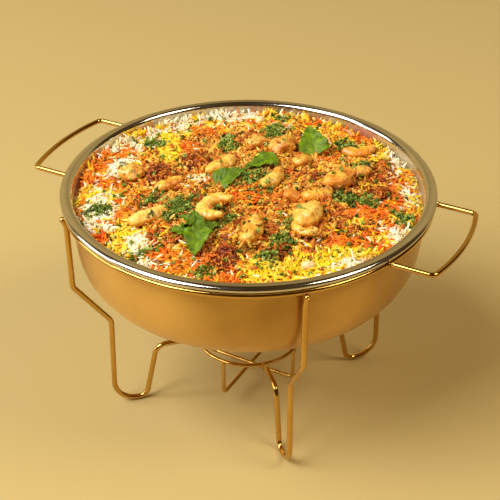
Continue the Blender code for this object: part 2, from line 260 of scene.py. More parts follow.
def add_node(tree: Tree, kind: str, *values: object, **named: object) -> Node:
    """Adds a node.

    Args:
        tree: the tree that the node goes into.
        kind: the node's type name.
        *values: numbers or outputs for its inputs in order.
        **named: its settings, in lower case, and its other inputs, with capitals.

    Returns:
        The new node.
    """
    made = tree.nodes.new(kind)
    settings = {name: value for name, value in named.items() if name.islower()}
    for name, value in settings.items():
        setattr(made, name, value)
    for socket, value in zip([s for s in made.inputs if s.enabled], values):
        feed(tree, socket, value)
    fill(tree, made, **{name: value for name, value in named.items() if name not in settings})
    return made


def result(node: Node) -> Socket:
    """The output that a node has in use."""
    return next(s for s in node.outputs if s.enabled)


def math_node(tree: Tree, operation: str, *values: object) -> Socket:
    """The result of a Math node over numbers or sockets."""
    return result(add_node(tree, "ShaderNodeMath", *values, operation=operation))


def map_range(tree: Tree, value: Socket, **limits: object) -> Socket:
    """A value mapped from one range to another."""
    return result(add_node(tree, "ShaderNodeMapRange", Value=value, **limits))


def mix_colour(tree: Tree, share: object, first: object, second: object) -> Socket:
    """Two colours, or sockets for them, mixed by a share of the second."""
    return result(add_node(tree, "ShaderNodeMix", share, first, second, data_type="RGBA"))


def tint_ramp(tree: Tree, share: Socket, tints: Sequence[Colour]) -> Socket:
    """Spreads colours evenly over a number that runs from 0 to 1.

    Args:
        tree: the tree that the node goes into.
        share: the number.
        tints: the colours in order.

    Returns:
        The colour there.
    """
    ramp = add_node(tree, "ShaderNodeValToRGB", share)
    stops = ramp.color_ramp.elements
    while len(stops) < len(tints):
        stops.new(0.5)
    for number, (stop, tint) in enumerate(zip(stops, tints)):
        stop.position = number / (len(tints) - 1)
        stop.color = (*tint, 1.0)
    return ramp.outputs[0]


def start_group(name: str, outputs: Sequence[str], **inputs: float) -> tuple[Tree, Node, Node, Socket]:
    """Starts a group whose sockets are all numbers.

    Args:
        name: the group's name.
        outputs: the names of the outputs.
        **inputs: each input's name and first value.

    Returns:
        The tree, its input node, its output node and the object coordinates.
    """
    tree = bpy.data.node_groups.new(name, "ShaderNodeTree")
    for label, value in inputs.items():
        socket = tree.interface.new_socket(label, in_out="INPUT", socket_type="NodeSocketFloat")
        socket.default_value = value
    for label in outputs:
        tree.interface.new_socket(label, in_out="OUTPUT", socket_type="NodeSocketFloat")
    place = add_node(tree, "ShaderNodeTexCoord").outputs["Object"]
    return tree, add_node(tree, "NodeGroupInput"), add_node(tree, "NodeGroupOutput"), place


@cache
def mottle_group() -> Tree:
    """A mask of soft-edged patches: their size, how much they cover, and how soft they are.

    Returns:
        The group.
    """
    tree, entry, leave, place = start_group("mottle", ["Mask"], Size=0.01, Cover=0.5, Softness=0.15)
    scale = math_node(tree, "DIVIDE", 1.0, entry.outputs["Size"])
    cloud = add_node(tree, "ShaderNodeTexNoise", Vector=place, Scale=scale, Detail=4.0, Roughness=0.62)
    level = math_node(tree, "SUBTRACT", 1.0, entry.outputs["Cover"])
    low = math_node(tree, "SUBTRACT", level, entry.outputs["Softness"])
    high = math_node(tree, "ADD", level, entry.outputs["Softness"])
    # noise gathers round one half, so it is spread out before it is cut at the level
    spread = map_range(tree, cloud.outputs[0], From_Min=0.28, From_Max=0.72)
    fill(tree, leave, Mask=map_range(tree, spread, From_Min=low, From_Max=high))
    return tree


@cache
def relief_group() -> Tree:
    """A height made of soft lumps and small pits.

    Returns:
        The group.
    """
    tree, entry, leave, place = start_group("fine relief", ["Height"], Size=0.002, Pits=0.4)
    scale = math_node(tree, "DIVIDE", 1.0, entry.outputs["Size"])
    lumps = add_node(tree, "ShaderNodeTexNoise", Vector=place, Scale=scale, Detail=3.0, Roughness=0.55)
    cells = add_node(tree, "ShaderNodeTexVoronoi", Vector=place, Scale=scale)
    pits = math_node(tree, "SMOOTH_MIN", cells.outputs["Distance"], 0.5, 0.2)
    pits = math_node(tree, "MULTIPLY", pits, entry.outputs["Pits"])
    fill(tree, leave, Height=math_node(tree, "ADD", lumps.outputs[0], pits))
    return tree


@cache
def turning_group() -> Tree:
    """Fine lines that run round the Z axis, as polishing on a lathe leaves them.

    Returns:
        The group.
    """
    tree, entry, leave, place = start_group("turned lines", ["Lines", "Smears"], Fineness=4000.0, Along=3.0)
    x, y, z = add_node(tree, "ShaderNodeSeparateXYZ", place).outputs
    squares = [math_node(tree, "MULTIPLY", way, way) for way in (x, y)]
    reach = math_node(tree, "SQRT", math_node(tree, "ADD", *squares))
    turn = math_node(tree, "ARCTAN2", y, x)
    fineness = entry.outputs["Fineness"]
    spot = add_node(
        tree, "ShaderNodeCombineXYZ", X=math_node(tree, "MULTIPLY", reach, fineness),
        Y=math_node(tree, "MULTIPLY", z, fineness),
        Z=math_node(tree, "MULTIPLY", turn, entry.outputs["Along"]),
    )
    lines = add_node(tree, "ShaderNodeTexNoise", Vector=spot.outputs[0], Scale=1.0, Detail=2.0)
    smears = add_node(tree, "ShaderNodeTexNoise", Vector=place, Scale=28.0, Detail=3.0)
    fill(tree, leave, Lines=lines.outputs[0], Smears=smears.outputs[0])
    return tree


# -------- finishes


@dataclass(frozen=True)
class Finish:
    """What every finish does: start a material, and place the shared groups in it."""

    name: str

    def start(self) -> tuple[Material, Tree, Node]:
        """Starts a material.

        Returns:
            The material, its tree and its Principled shader.
        """
        material = bpy.data.materials.new(self.name)
        material.use_nodes = True
        tree = material.node_tree
        return material, tree, tree.nodes["Principled BSDF"]

    @staticmethod
    def mask(tree: Tree, size: float, cover: float, softness: float) -> Socket:
        """Where the patches of a mottle lie.

        Args:
            tree: the material's tree.
            size: the size of the patches.
            cover: the share of the surface that they cover.
            softness: how soft their edges are.

        Returns:
            The mask.
        """
        mottle = add_node(
            tree, "ShaderNodeGroup", node_tree=mottle_group(), Size=size, Cover=cover, Softness=softness
        )
        return mottle.outputs["Mask"]

    @staticmethod
    def bump(tree: Tree, height: Socket, depth: float) -> Socket:
        """The normal over a height from 0 to about 1 that stands for a depth in metres."""
        return add_node(tree, "ShaderNodeBump", Height=height, Distance=depth).outputs[0]

    def relief(self, tree: Tree, size: float, depth: float) -> Socket:
        """The normal over lumps and pits of a size and depth."""
        made = add_node(tree, "ShaderNodeGroup", node_tree=relief_group(), Size=size)
        return self.bump(tree, made.outputs["Height"], depth)

    @staticmethod
    def attribute(tree: Tree, name: str, output: str = "Fac") -> Socket:
        """A number, or with Color a colour, stored on the mesh."""
        return add_node(tree, "ShaderNodeAttribute", attribute_name=name).outputs[output]


@dataclass(frozen=True)
class FoodFinish(Finish):
    """A cooked surface: tints that vary from item to item or with painted shade, patches, gloss and relief.
    """

    tints: tuple[Colour, ...]
    patch_tint: Colour
    patches: tuple[float, float]  # their size, and the share of the surface that they cover
    rough: tuple[float, float]  # where it is dry and where it is wet
    lumps: tuple[float, float]  # their size and depth
    soft: float = 0.0  # share of light that scatters inside
    soft_depth: float = 1.0 * MM
    coat: float = 0.0
    gloss: float = 0.5
    fleck_tint: Colour = (0.4, 0.2, 0.05)
    flecks: Optional[tuple[float, float]] = None

    def material(self) -> Material:
        """Builds the material; the point attribute "shade" picks its tint, at random or as painted shade.

        Returns:
            The material.
        """
        material, tree, shader = self.start()
        base = tint_ramp(tree, self.attribute(tree, "shade"), self.tints)
        patches = self.mask(tree, *self.patches, 0.18)
        base = mix_colour(tree, patches, base, self.patch_tint)
        if self.flecks:
            flecks = self.mask(tree, *self.flecks, 0.08)
            base = mix_colour(tree, flecks, base, self.fleck_tint)
        wet = self.mask(tree, 1.7 * self.patches[0], 0.5, 0.4)
        fill(
            tree, shader, Base_Color=base,
            Roughness=map_range(tree, wet, To_Min=self.rough[0], To_Max=self.rough[1]),
            Normal=self.relief(tree, *self.lumps), Subsurface_Weight=self.soft,
            Subsurface_Radius=(1.0, 0.55, 0.3), Subsurface_Scale=self.soft_depth, Coat_Weight=self.coat,
            Coat_Roughness=0.2, Specular_IOR_Level=self.gloss,
        )
        return material


@dataclass(frozen=True)
class CoreFinish(Finish):
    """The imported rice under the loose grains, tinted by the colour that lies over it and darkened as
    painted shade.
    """

    roughness: float
    lumps: tuple[float, float]  # their size and depth

    def material(self) -> Material:
        """Builds the material, which reads the colour attribute "tint".

        Returns:
            The material.
        """
        material, tree, shader = self.start()
        tint = self.attribute(tree, "tint", "Color")
        # patches of a darker copy of the tint: more painted shade in the gaps between the grains
        darker = add_node(tree, "ShaderNodeHueSaturation", Color=tint, Value=0.62)
        fill(
            tree, shader,
            Base_Color=mix_colour(tree, self.mask(tree, 3 * MM, 0.5, 0.3), tint, darker.outputs[0]),
            Roughness=self.roughness, Normal=self.relief(tree, *self.lumps),
        )
        return material


@dataclass(frozen=True)
class LeafFinish(Finish):
    """A fresh leaf: a blade with darker patches and a darker underside as painted shade, and a waxy gloss.
    """

    blade: Colour
    shaded_blade: Colour
    roughness: float

    def material(self) -> Material:
        """Builds the material, which reads the point attribute "shade".

        Returns:
            The material.
        """
        material, tree, shader = self.start()
        # darker patches over the blade: painted shade
        blade = mix_colour(tree, self.mask(tree, 6 * MM, 0.5, 0.4), self.blade, self.shaded_blade)
        fill(
            tree, shader,
            # "shade" darkens each leaf by its own tone, and its underside as painted shade
            Base_Color=mix_colour(tree, self.attribute(tree, "shade"), blade, self.shaded_blade),
            Roughness=self.roughness, Normal=self.relief(tree, 0.7 * MM, 0.1 * MM), Subsurface_Weight=0.15,
            Subsurface_Radius=(0.4, 1.0, 0.2), Subsurface_Scale=0.8 * MM, Specular_IOR_Level=0.3,
        )
        return material


@dataclass(frozen=True)
class MetalFinish(Finish):
    """A polished metal with turned lines and faint smears."""

    tint: Colour
    smear_tint: Colour
    rough: tuple[float, float]  # where it is clean and where it is smeared
    line_depth: float
    fineness: float = 4000.0
    coat: float = 0.0
    turned: float = 0.0  # how far the lines round the middle draw a highlight out up and down

    def material(self) -> Material:
        """Builds the metal.

        Returns:
            The material.
        """
        material, tree, shader = self.start()
        turning = add_node(tree, "ShaderNodeGroup", node_tree=turning_group(), Fineness=self.fineness)
        smears = map_range(tree, turning.outputs["Smears"], From_Min=0.35, From_Max=0.7)
        fill(
            tree, shader, Base_Color=mix_colour(tree, smears, self.tint, self.smear_tint), Metallic=1.0,
            Roughness=map_range(tree, smears, To_Min=self.rough[0], To_Max=self.rough[1]),
            Normal=self.bump(tree, turning.outputs["Lines"], self.line_depth), Coat_Weight=self.coat,
            Coat_Roughness=0.3,
        )
        if self.turned:
            place = add_node(tree, "ShaderNodeTexCoord").outputs["Object"]
            round_it = add_node(
                tree, "ShaderNodeVectorMath", (0.0, 0.0, 1.0), place, operation="CROSS_PRODUCT"
            )
            tangent = round_it.outputs[0]
            fill(tree, shader, Tangent=tangent, Anisotropic=self.turned, Anisotropic_Rotation=0.25)
        return material


# -------- geometry nodes


class NodeTool:
    """A geometry node tree with named inputs, run on an object and turned into a plain mesh."""

    def __init__(self, name: str, **inputs: str) -> None:
        """Starts the tree.

        Args:
            name: the tree's name.
            **inputs: each input's name, with underscores for spaces, and its socket's kind.
        """
        self.tree = bpy.data.node_groups.new(name, "GeometryNodeTree")
        self.sockets = {}
        for label, kind in {"Geometry": "Geometry", **inputs}.items():
            socket = self.tree.interface.new_socket(
                label.replace("_", " "), in_out="INPUT", socket_type=f"NodeSocket{kind}"
            )
            self.sockets[label] = socket.identifier
        self.tree.interface.new_socket("Geometry", in_out="OUTPUT", socket_type="NodeSocketGeometry")
        self.entry = self.add("NodeGroupInput")

    def add(self, kind: str, *values: object, **named: object) -> Node:
        """Adds a node to the tree, as add_node does."""
        return add_node(self.tree, kind, *values, **named)

    def value(self, label: str) -> Socket:
        """The named input inside the tree."""
        return self.entry.outputs[label]

    def random(self, kind: str, low: object, high: object, seed_shift: int) -> Socket:
        """A random value for each point or instance, tied to the tree's Seed input.

        Args:
            kind: FLOAT, FLOAT_VECTOR or INT.
            low: the least value, as a value or a socket.
            high: the greatest value, as a value or a socket.
            seed_shift: sets this value apart from the tree's other random values.

        Returns:
            The random value.
        """
        seed = math_node(self.tree, "ADD", self.value("Seed"), seed_shift)
        return result(self.add("FunctionNodeRandomValue", low, high, data_type=kind, Seed=seed))

    def finish(self, geometry: Socket) -> None:
        """Ends the tree in Realize Instances and Set Material.

        Args:
            geometry: what the tree has made.
        """
        smooth = self.add("GeometryNodeSetShadeSmooth", geometry)
        realize = self.add("GeometryNodeRealizeInstances", smooth.outputs[0])
        dressed = self.add(
            "GeometryNodeSetMaterial", Geometry=realize.outputs[0], Material=self.value("Material")
        )
        self.add("NodeGroupOutput", dressed.outputs[0])

    def run(self, mesh: Mesh, **inputs: object) -> Mesh:
        """Runs the tree on a mesh.

        Args:
            mesh: what the tree starts from; it is used up.
            **inputs: the tree's inputs, with underscores for spaces.

        Returns:
            The result as a plain mesh.
        """
        source = new_object("source", mesh)
        modifier = source.modifiers.new(self.tree.name, "NODES")
        modifier.node_group = self.tree
        for label, value in inputs.items():
            modifier[self.sockets[label]] = value
        made = plain_mesh(source)
        bpy.data.meshes.remove(mesh)
        return made


class WireSweep(NodeTool):
    """Sweeps a round section along a path of edges, with closed ends."""

    def __init__(self) -> None:
        """Builds the tree."""
        super().__init__("wire sweep", Wire_Radius="Float", Sides="Int", Material="Material")
        path = self.add("GeometryNodeMeshToCurve", self.value("Geometry"))
        section = self.add(
            "GeometryNodeCurvePrimitiveCircle", Resolution=self.value("Sides"),
            Radius=self.value("Wire Radius"),
        )
        sweep = self.add(
            "GeometryNodeCurveToMesh", Curve=path.outputs[0], Profile_Curve=section.outputs[0],
            Fill_Caps=True,
        )
        self.finish(sweep.outputs[0])


class WeldBeads(NodeTool):
    """Puts a small uneven bead of metal on every point."""

    def __init__(self) -> None:
        """Builds the tree."""
        super().__init__("weld beads", Bead_Radius="Float", Seed="Int", Material="Material")
        bead = self.add("GeometryNodeMeshIcoSphere", Radius=self.value("Bead Radius"), Subdivisions=3)
        spots = self.add(
            "GeometryNodeInstanceOnPoints", Points=self.value("Geometry"), Instance=bead.outputs["Mesh"],
            Rotation=self.random("FLOAT_VECTOR", (0, 0, 0), (3.1, 3.1, 3.1), 1),
            Scale=self.random("FLOAT_VECTOR", (0.85, 0.85, 0.7), (1.2, 1.1, 0.9), 2),
        )
        self.finish(spots.outputs[0])


class Scatter(NodeTool):
    """Strews a collection's items over a surface, thickest where its "weight" is high."""

    def __init__(self) -> None:
        """Builds the tree."""
        numbers = ("Density", "Tilt", "Lean", "Roll", "Smallest", "Largest", "Lowest", "Highest")
        super().__init__(
            "scatter", Items="Collection", Seed="Int", Material="Material",
            **dict.fromkeys(numbers, "Float"),
        )
        weight = self.add("GeometryNodeInputNamedAttribute", data_type="FLOAT", Name="weight")
        strew = self.add(
            "GeometryNodeDistributePointsOnFaces", Mesh=self.value("Geometry"),
            Density=math_node(self.tree, "MULTIPLY", weight.outputs["Attribute"], self.value("Density")),
            Seed=self.value("Seed"),
        )
        items = self.add(
            "GeometryNodeCollectionInfo", Collection=self.value("Items"), Separate_Children=True,
            Reset_Children=True,
        )
        spots = self.add(
            "GeometryNodeInstanceOnPoints", Points=strew.outputs["Points"], Instance=items.outputs[0],
            Pick_Instance=True, Instance_Index=self.random("INT", 0, 999, 1),
            Rotation=self._turn(strew.outputs["Rotation"]),
            Scale=self.random("FLOAT", self.value("Smallest"), self.value("Largest"), 5),
        )
        lift = self.random("FLOAT", self.value("Lowest"), self.value("Highest"), 6)
        move = self.add(
            "GeometryNodeTranslateInstances", Instances=spots.outputs[0],
            Translation=self.add("ShaderNodeCombineXYZ", Z=lift).outputs[0], Local_Space=False,
        )
        shade = self.add(
            "GeometryNodeStoreNamedAttribute", data_type="FLOAT", domain="INSTANCE", Name="shade",
            Geometry=move.outputs[0], Value=self.random("FLOAT", 0.0, 1.0, 7),
        )
        self.finish(shade.outputs[0])

    def _either_way(self, label: str, seed_shift: int) -> Socket:
        """A random angle up to the named limit, either way."""
        limit = self.value(label)
        return self.random("FLOAT", math_node(self.tree, "MULTIPLY", limit, -1.0), limit, seed_shift)

    def _turn(self, surface: Socket) -> Socket:
        """Turns each item: rolled, tilted up, and headed any way over the surface.

        Args:
            surface: how the surface lies at each spot.

        Returns:
            The rotation.
        """
        parts = self.add(
            "ShaderNodeCombineXYZ", X=self._either_way("Roll", 2),
            Y=math_node(self.tree, "ADD", self._either_way("Tilt", 3), self.value("Lean")),
            Z=self.random("FLOAT", -math.pi, math.pi, 4),
        )
        own = self.add("FunctionNodeEulerToRotation", parts.outputs[0])
        turn = self.add("FunctionNodeRotateRotation", surface, own.outputs[0], rotation_space="LOCAL")
        return turn.outputs[0]


# -------- bowl


def arc(centre: tuple, radius: float, start: float, end: float, steps: int) -> list[tuple]:
    """Points (r, z) along a circular arc, with its angles in degrees."""
    angles = (math.radians(start + (end - start) * i / steps) for i in range(steps + 1))
    return [(centre[0] + radius * math.cos(a), centre[1] + radius * math.sin(a)) for a in angles]


@dataclass
class Bowl:
    """The turned bowl: a steel liner with a flange and a rolled bead, in a gold skin."""

    rim_radius: float
    rim_top: float
    bead_radius: float = 3.5 * MM
    bead_reach: float = 5.0 * MM  # half the bead's width, as it is rolled flatter than round
    wall: float = 1.4 * MM
    flange_bend: float = 2.6 * MM
    inner_bend: float = 5.0 * MM
    satin_depth: float = 5.0 * MM  # how far below the rim the satin inside begins
    flange_width: float = 10.4 * MM  # from the outside of the wall to the outside of the bead
    shoulder_drop: float = 8.0 * MM
    depth: float = 104.9 * MM
    square_r: float = 3.61
    square_z: float = 4.33
    skin_gap: float = 0.05 * MM
    spin_steps: int = 192

    @property
    def radius(self) -> float:
        """Outside radius of the straight wall."""
        return self.rim_radius - self.flange_width

    @property
    def bend(self) -> tuple[float, float]:
        """Centre of the bend from the wall into the flange."""
        return self.radius + self.flange_bend, self.rim_top - self.wall - self.flange_bend

    @property
    def shoulder(self) -> float:
        """Height at which the wall starts to curve in."""
        return self.rim_top - self.shoulder_drop

    def curve(self, inset: float, steps: int = 26) -> list[tuple]:
        """Points (r, z) of the curved wall from its shoulder down to the axis.

        Args:
            inset: how far inside the outer surface the points lie.
            steps: how many steps the curve takes.

        Returns:
            The points, from the shoulder to the axis.
        """
        points = []
        for i in range(steps + 1):
            turn = 0.5 * math.pi * i / steps
            reach = (self.radius - inset) * max(math.cos(turn), 0.0) ** (2 / self.square_r)
            drop = (self.depth - inset) * math.sin(turn) ** (2 / self.square_z)
            points.append((reach, self.shoulder - drop))
        points[-1] = (0.0, points[-1][1])
        return points

    def _spin(self, profile: list[tuple]) -> Mesh:
        """Turns a section into a closed shell.

        Args:
            profile: the section, which starts and ends on the axis.

        Returns:
            The shell.
        """
        shape = bmesh.new()
        verts = [shape.verts.new((r, 0.0, z)) for r, z in profile]
        edges = [shape.edges.new(pair) for pair in zip(verts, verts[1:])]
        bmesh.ops.spin(
            shape, geom=verts + edges, axis=(0, 0, 1), cent=(0, 0, 0), steps=self.spin_steps,
            angle=2 * math.pi,
        )
        bmesh.ops.remove_doubles(shape, verts=shape.verts, dist=1e-6)
        bmesh.ops.recalc_face_normals(shape, faces=shape.faces)
        return shape_to_mesh(shape)

    def liner_profile(self) -> list[tuple]:
        """The liner's section.

        Returns:
            Its points, from the axis up its back, over the bead and down the inside.
        """
        lip = (self.radius - self.wall + self.inner_bend, self.rim_top - self.inner_bend)
        meet = 180 - math.degrees(math.asin((self.bead_radius - self.wall) / self.bead_radius))
        back = 0.5 * self.wall + self.skin_gap
        stretch = self.bead_reach / self.bead_radius
        roll = arc((0.0, self.rim_top - self.bead_radius), self.bead_radius, meet, 450, 30)
        return [
            *reversed(self.curve(back)), *arc(self.bend, self.flange_bend + back, 180, 115, 4),
            *arc(self.bend, self.flange_bend, 95, 90, 1),
            *((self.rim_radius - self.bead_reach + stretch * r, z) for r, z in roll),
            *arc(lip, self.inner_bend, 90, 180, 14), *self.curve(self.wall),
        ]

    def skin_profile(self) -> list[tuple]:
        """The skin's section.

        Returns:
            Its points, from the axis up the outside and back down behind it.
        """
        back = 0.5 * self.wall
        return [
            *reversed(self.curve(0.0)), *arc(self.bend, self.flange_bend, 180, 110, 4),
            *arc(self.bend, self.flange_bend + back, 120, 180, 4), *self.curve(back),
        ]

    def build(self) -> None:
        """Makes both shells and dresses them."""
        steel = MetalFinish(
            "polished steel", tint=(0.64, 0.62, 0.58), smear_tint=(0.58, 0.56, 0.52), rough=(0.1, 0.15),
            line_depth=0.01 * MM,
        )
        satin = MetalFinish(
            "satin steel", tint=(0.86, 0.82, 0.72), smear_tint=(0.78, 0.74, 0.63), rough=(0.44, 0.5),
            line_depth=0.02 * MM,
        )
        gold = MetalFinish(
            "satin gold plate", tint=(0.62, 0.35, 0.066), smear_tint=(0.57, 0.31, 0.054),
            rough=(0.36, 0.42), line_depth=0.02 * MM, fineness=2500.0, coat=0.8, turned=0.92,
        )
        liner = self._spin(self.liner_profile())
        liner.materials.append(steel.material())
        liner.materials.append(satin.material())
        for face in liner.polygons:
            inside = math.hypot(*face.center[:2]) < self.radius - 0.9 * self.wall
            if inside and face.normal.z > -0.5 and face.center.z < self.rim_top - self.satin_depth:
                face.material_index = 1
        add_piece("bowl_liner", liner, "bowl_steel", ["bowl"])
        skin = self._spin(self.skin_profile())
        skin.materials.append(gold.material())
        add_piece("bowl_skin", skin, "bowl_gold", ["bowl"])


# -------- stand


@dataclass
class Bend:
    """A corner of a flat wire path and the radius that rounds it."""

    along: float
    up: float
    radius: float = 0.0

    @property
    def spot(self) -> Vector:
        """The corner itself."""
        return Vector((self.along, self.up))


@dataclass
class WireStand:
    """The gold stand: top ring, four legs, two handles, burner ring and its two braces."""

    bowl: Bowl
    gap: float = 0.3 * MM
    wire: float = 2.75 * MM
    handle_wire: float = 2.5 * MM
    burner_wire: float = 2.0 * MM
    bend_step: float = math.radians(7)
    sides: int = 20
    ring_radius: float = 176.2 * MM
    burner_radius: float = 52.5 * MM
    burner_z: float = 60.0 * MM
    leg_turn: float = 15.9
    handle_turns: tuple[float, float] = (152.7, -27.3)
    brace_turns: tuple[float, float] = (60.9, 150.9)
    brace_z: float = 18.0 * MM
    handle_half: float = 57.5 * MM
    handle_reach: float = 216.5 * MM
    handle_bend: float = 6.0 * MM
    grip_steps: int = 16
    ring_steps: int = 180
    bead_radius: float = 2.9 * MM
    welds: list[Vector] = field(default_factory=list)
    tool: WireSweep = field(default_factory=WireSweep)
    gold: Optional[Material] = None

    @property
    def ring_z(self) -> float:
        """Height of the top ring's centre, under the bowl's bead."""
        return self.bowl.rim_top - 2 * self.bowl.bead_radius - self.gap - self.wire

    def _rounded(self, bends: Sequence[Bend]) -> list[Vector]:
        """Rounds a flat path at its corners.

        Args:
            bends: the corners in order; the first and last are the ends.

        Returns:
            The path's points in its own plane.
        """
        path = [bends[0].spot]
        for before, bend, after in zip(bends, bends[1:], bends[2:]):
            back = (before.spot - bend.spot).normalized()
            ahead = (after.spot - bend.spot).normalized()
            turn = math.pi - back.angle(ahead)
            if bend.radius == 0 or turn < 1e-4:
                path.append(bend.spot)
                continue
            middle = bend.spot + (back + ahead).normalized() * bend.radius / math.cos(turn / 2)
            start = bend.spot + back * bend.radius * math.tan(turn / 2) - middle
            side = 1.0 if back.x * ahead.y - back.y * ahead.x < 0 else -1.0
            steps = max(2, round(turn / self.bend_step))
            for step in range(steps + 1):
                angle = side * turn * step / steps
                cos, sin = math.cos(angle), math.sin(angle)
                path.append(middle + Vector((start.x * cos - start.y * sin, start.x * sin + start.y * cos)))
        path.append(bends[-1].spot)
        return path

    def _leg(self) -> list[Bend]:
        """A leg in its radial plane.

        Returns:
            Its bends, from the weld under the top ring to the burner ring.
        """
        weld_z = self.ring_z - self.wire - self.gap - 0.29 * self.wire
        burner_r = self.burner_radius + self.burner_wire + self.gap
        return [
            Bend(179.6 * MM, weld_z), Bend(176.8 * MM, 222.0 * MM, 4 * MM),
            Bend(176.8 * MM, 153.8 * MM, 9 * MM), Bend(142.2 * MM, 106.5 * MM, 9 * MM),
            Bend(144.8 * MM, self.wire, 24 * MM), Bend(111.4 * MM, self.wire, 10 * MM),
            Bend(98.0 * MM, 66.0 * MM, 13 * MM), Bend(66.0 * MM, 66.0 * MM, 8 * MM),
            Bend(60.0 * MM, self.burner_z, 4 * MM), Bend(burner_r, self.burner_z),
        ]

    def _handle(self) -> list[Bend]:
        """A handle in its level plane.

        Returns:
            Its bends: two parallel prongs and a grip round the bowl's axis.
        """
        inner = self.ring_radius + self.wire + self.gap
        weld = math.sqrt(inner**2 - (self.handle_half - self.handle_wire) ** 2)
        spread = math.asin(self.handle_half / self.handle_reach)
        grip = []
        for i in range(self.grip_steps + 1):
            turn = spread * (2 * i / self.grip_steps - 1)
            bend = self.handle_bend if i in (0, self.grip_steps) else 0.0
            grip.append(Bend(self.handle_reach * math.cos(turn), self.handle_reach * math.sin(turn), bend))
        return [Bend(weld, -self.handle_half), *grip, Bend(weld, self.handle_half)]

    def _brace(self, bar_z: float) -> list[Bend]:
        """A U-shaped brace that hangs from both sides of the burner ring.

        Args:
            bar_z: height of its lowest stretch.

        Returns:
            Its bends.
        """
        top = self.burner_z - self.burner_wire - self.gap
        reach = self.burner_radius
        return [
            Bend(-reach, top), Bend(-reach, bar_z, 6 * MM), Bend(reach, bar_z, 6 * MM), Bend(reach, top),
        ]

    @staticmethod
    def _plane(turn: float, height: Optional[float] = None) -> Matrix:
        """Maps a wire's plane to the part.

        Args:
            turn: the plane's turn about Z.
            height: where a level plane lies, or None for an upright one through the axis.

        Returns:
            The transform.
        """
        cos, sin = math.cos(math.radians(turn)), math.sin(math.radians(turn))
        if height is None:
            return Matrix(((cos, 0, sin, 0), (sin, 0, -cos, 0), (0, 1, 0, 0), (0, 0, 0, 1)))
        return Matrix(((cos, -sin, 0, 0), (sin, cos, 0, 0), (0, 0, 1, height), (0, 0, 0, 1)))

    def _sweep(self, name: str, points: Sequence[Vector], radius: float, closed: bool = False) -> None:
        """Sweeps one wire and lets it stand for the frame's wire of the same name.

        Args:
            name: the wire's name.
            points: its middle line.
            radius: half its thickness.
            closed: whether it is a ring.
        """
        count = len(points)
        path = bpy.data.meshes.new("path")
        path.from_pydata(points, [(i, (i + 1) % count) for i in range(count if closed else count - 1)], [])
        mesh = self.tool.run(path, Wire_Radius=radius, Sides=self.sides, Material=self.gold)
        shape = bmesh.new()
        shape.from_mesh(mesh)
        bmesh.ops.recalc_face_normals(shape, faces=shape.faces)
        shape.to_mesh(mesh)
        shape.free()
        mesh.set_sharp_from_angle(angle=math.radians(60))
        add_piece(f"wire_{name}", mesh, "gold_wire", [name])

    def _bent(self, name: str, bends: Sequence[Bend], radius: float, plane: Matrix) -> None:
        """Sweeps a wire bent in one plane and notes where its ends are welded.

        Args:
            name: the wire's name.
            bends: its corners.
            radius: half its thickness.
            plane: where the plane lies.
        """
        points = [plane @ Vector((p.x, p.y, 0)) for p in self._rounded(bends)]
        self._sweep(name, points, radius)
        self.welds += [points[0], points[-1]]

    def _ring(self, name: str, reach: float, z: float, radius: float) -> None:
        """Sweeps a level ring.

        Args:
            name: the ring's name.
            reach: its radius.
            z: its height.
            radius: half its thickness.
        """
        turns = (2 * math.pi * i / self.ring_steps for i in range(self.ring_steps))
        points = [Vector((reach * math.cos(t), reach * math.sin(t), z)) for t in turns]
        self._sweep(name, points, radius, closed=True)

    def build(self) -> None:
        """Makes every wire and the beads that weld them together."""
        self.gold = MetalFinish(
            "polished gold wire", tint=(0.63, 0.385, 0.098), smear_tint=(0.54, 0.32, 0.072),
            rough=(0.07, 0.12), line_depth=0.01 * MM, fineness=1500.0,
        ).material()
        self._ring("top_ring", self.ring_radius, self.ring_z, self.wire)
        self._ring("burner_ring", self.burner_radius, self.burner_z, self.burner_wire)
        for number in range(4):
            plane = self._plane(self.leg_turn + 90 * number)
            self._bent(f"leg_{number + 1}", self._leg(), self.wire, plane)
        for number, turn in enumerate(self.handle_turns):
            plane = self._plane(turn, self.ring_z)
            self._bent(f"handle_{number + 1}", self._handle(), self.handle_wire, plane)
        for number, turn in enumerate(self.brace_turns):
            bar_z = self.brace_z + number * (2 * self.burner_wire + self.gap)
            name = f"burner_brace_{number + 1}"
            self._bent(name, self._brace(bar_z), self.burner_wire, self._plane(turn))
        points = bpy.data.meshes.new("weld points")
        points.from_pydata(self.welds, [], [])
        beads = WeldBeads().run(points, Bead_Radius=self.bead_radius, Seed=3, Material=self.gold)
        add_piece("weld_beads", beads, "gold_wire")


# -------- the heap


@dataclass(frozen=True)
class Patch:
    """An oval of the heap where something lies thicker, in millimetres from the middle."""

    x: float
    y: float
    across: float
    deep: float
    strength: float = 1.0


def ovals(*rows: tuple) -> tuple[Patch, ...]:
    """Patches from short rows of (x, y, across, deep) or (x, y, across, deep, strength)."""
    return tuple(Patch(*row) for row in rows)


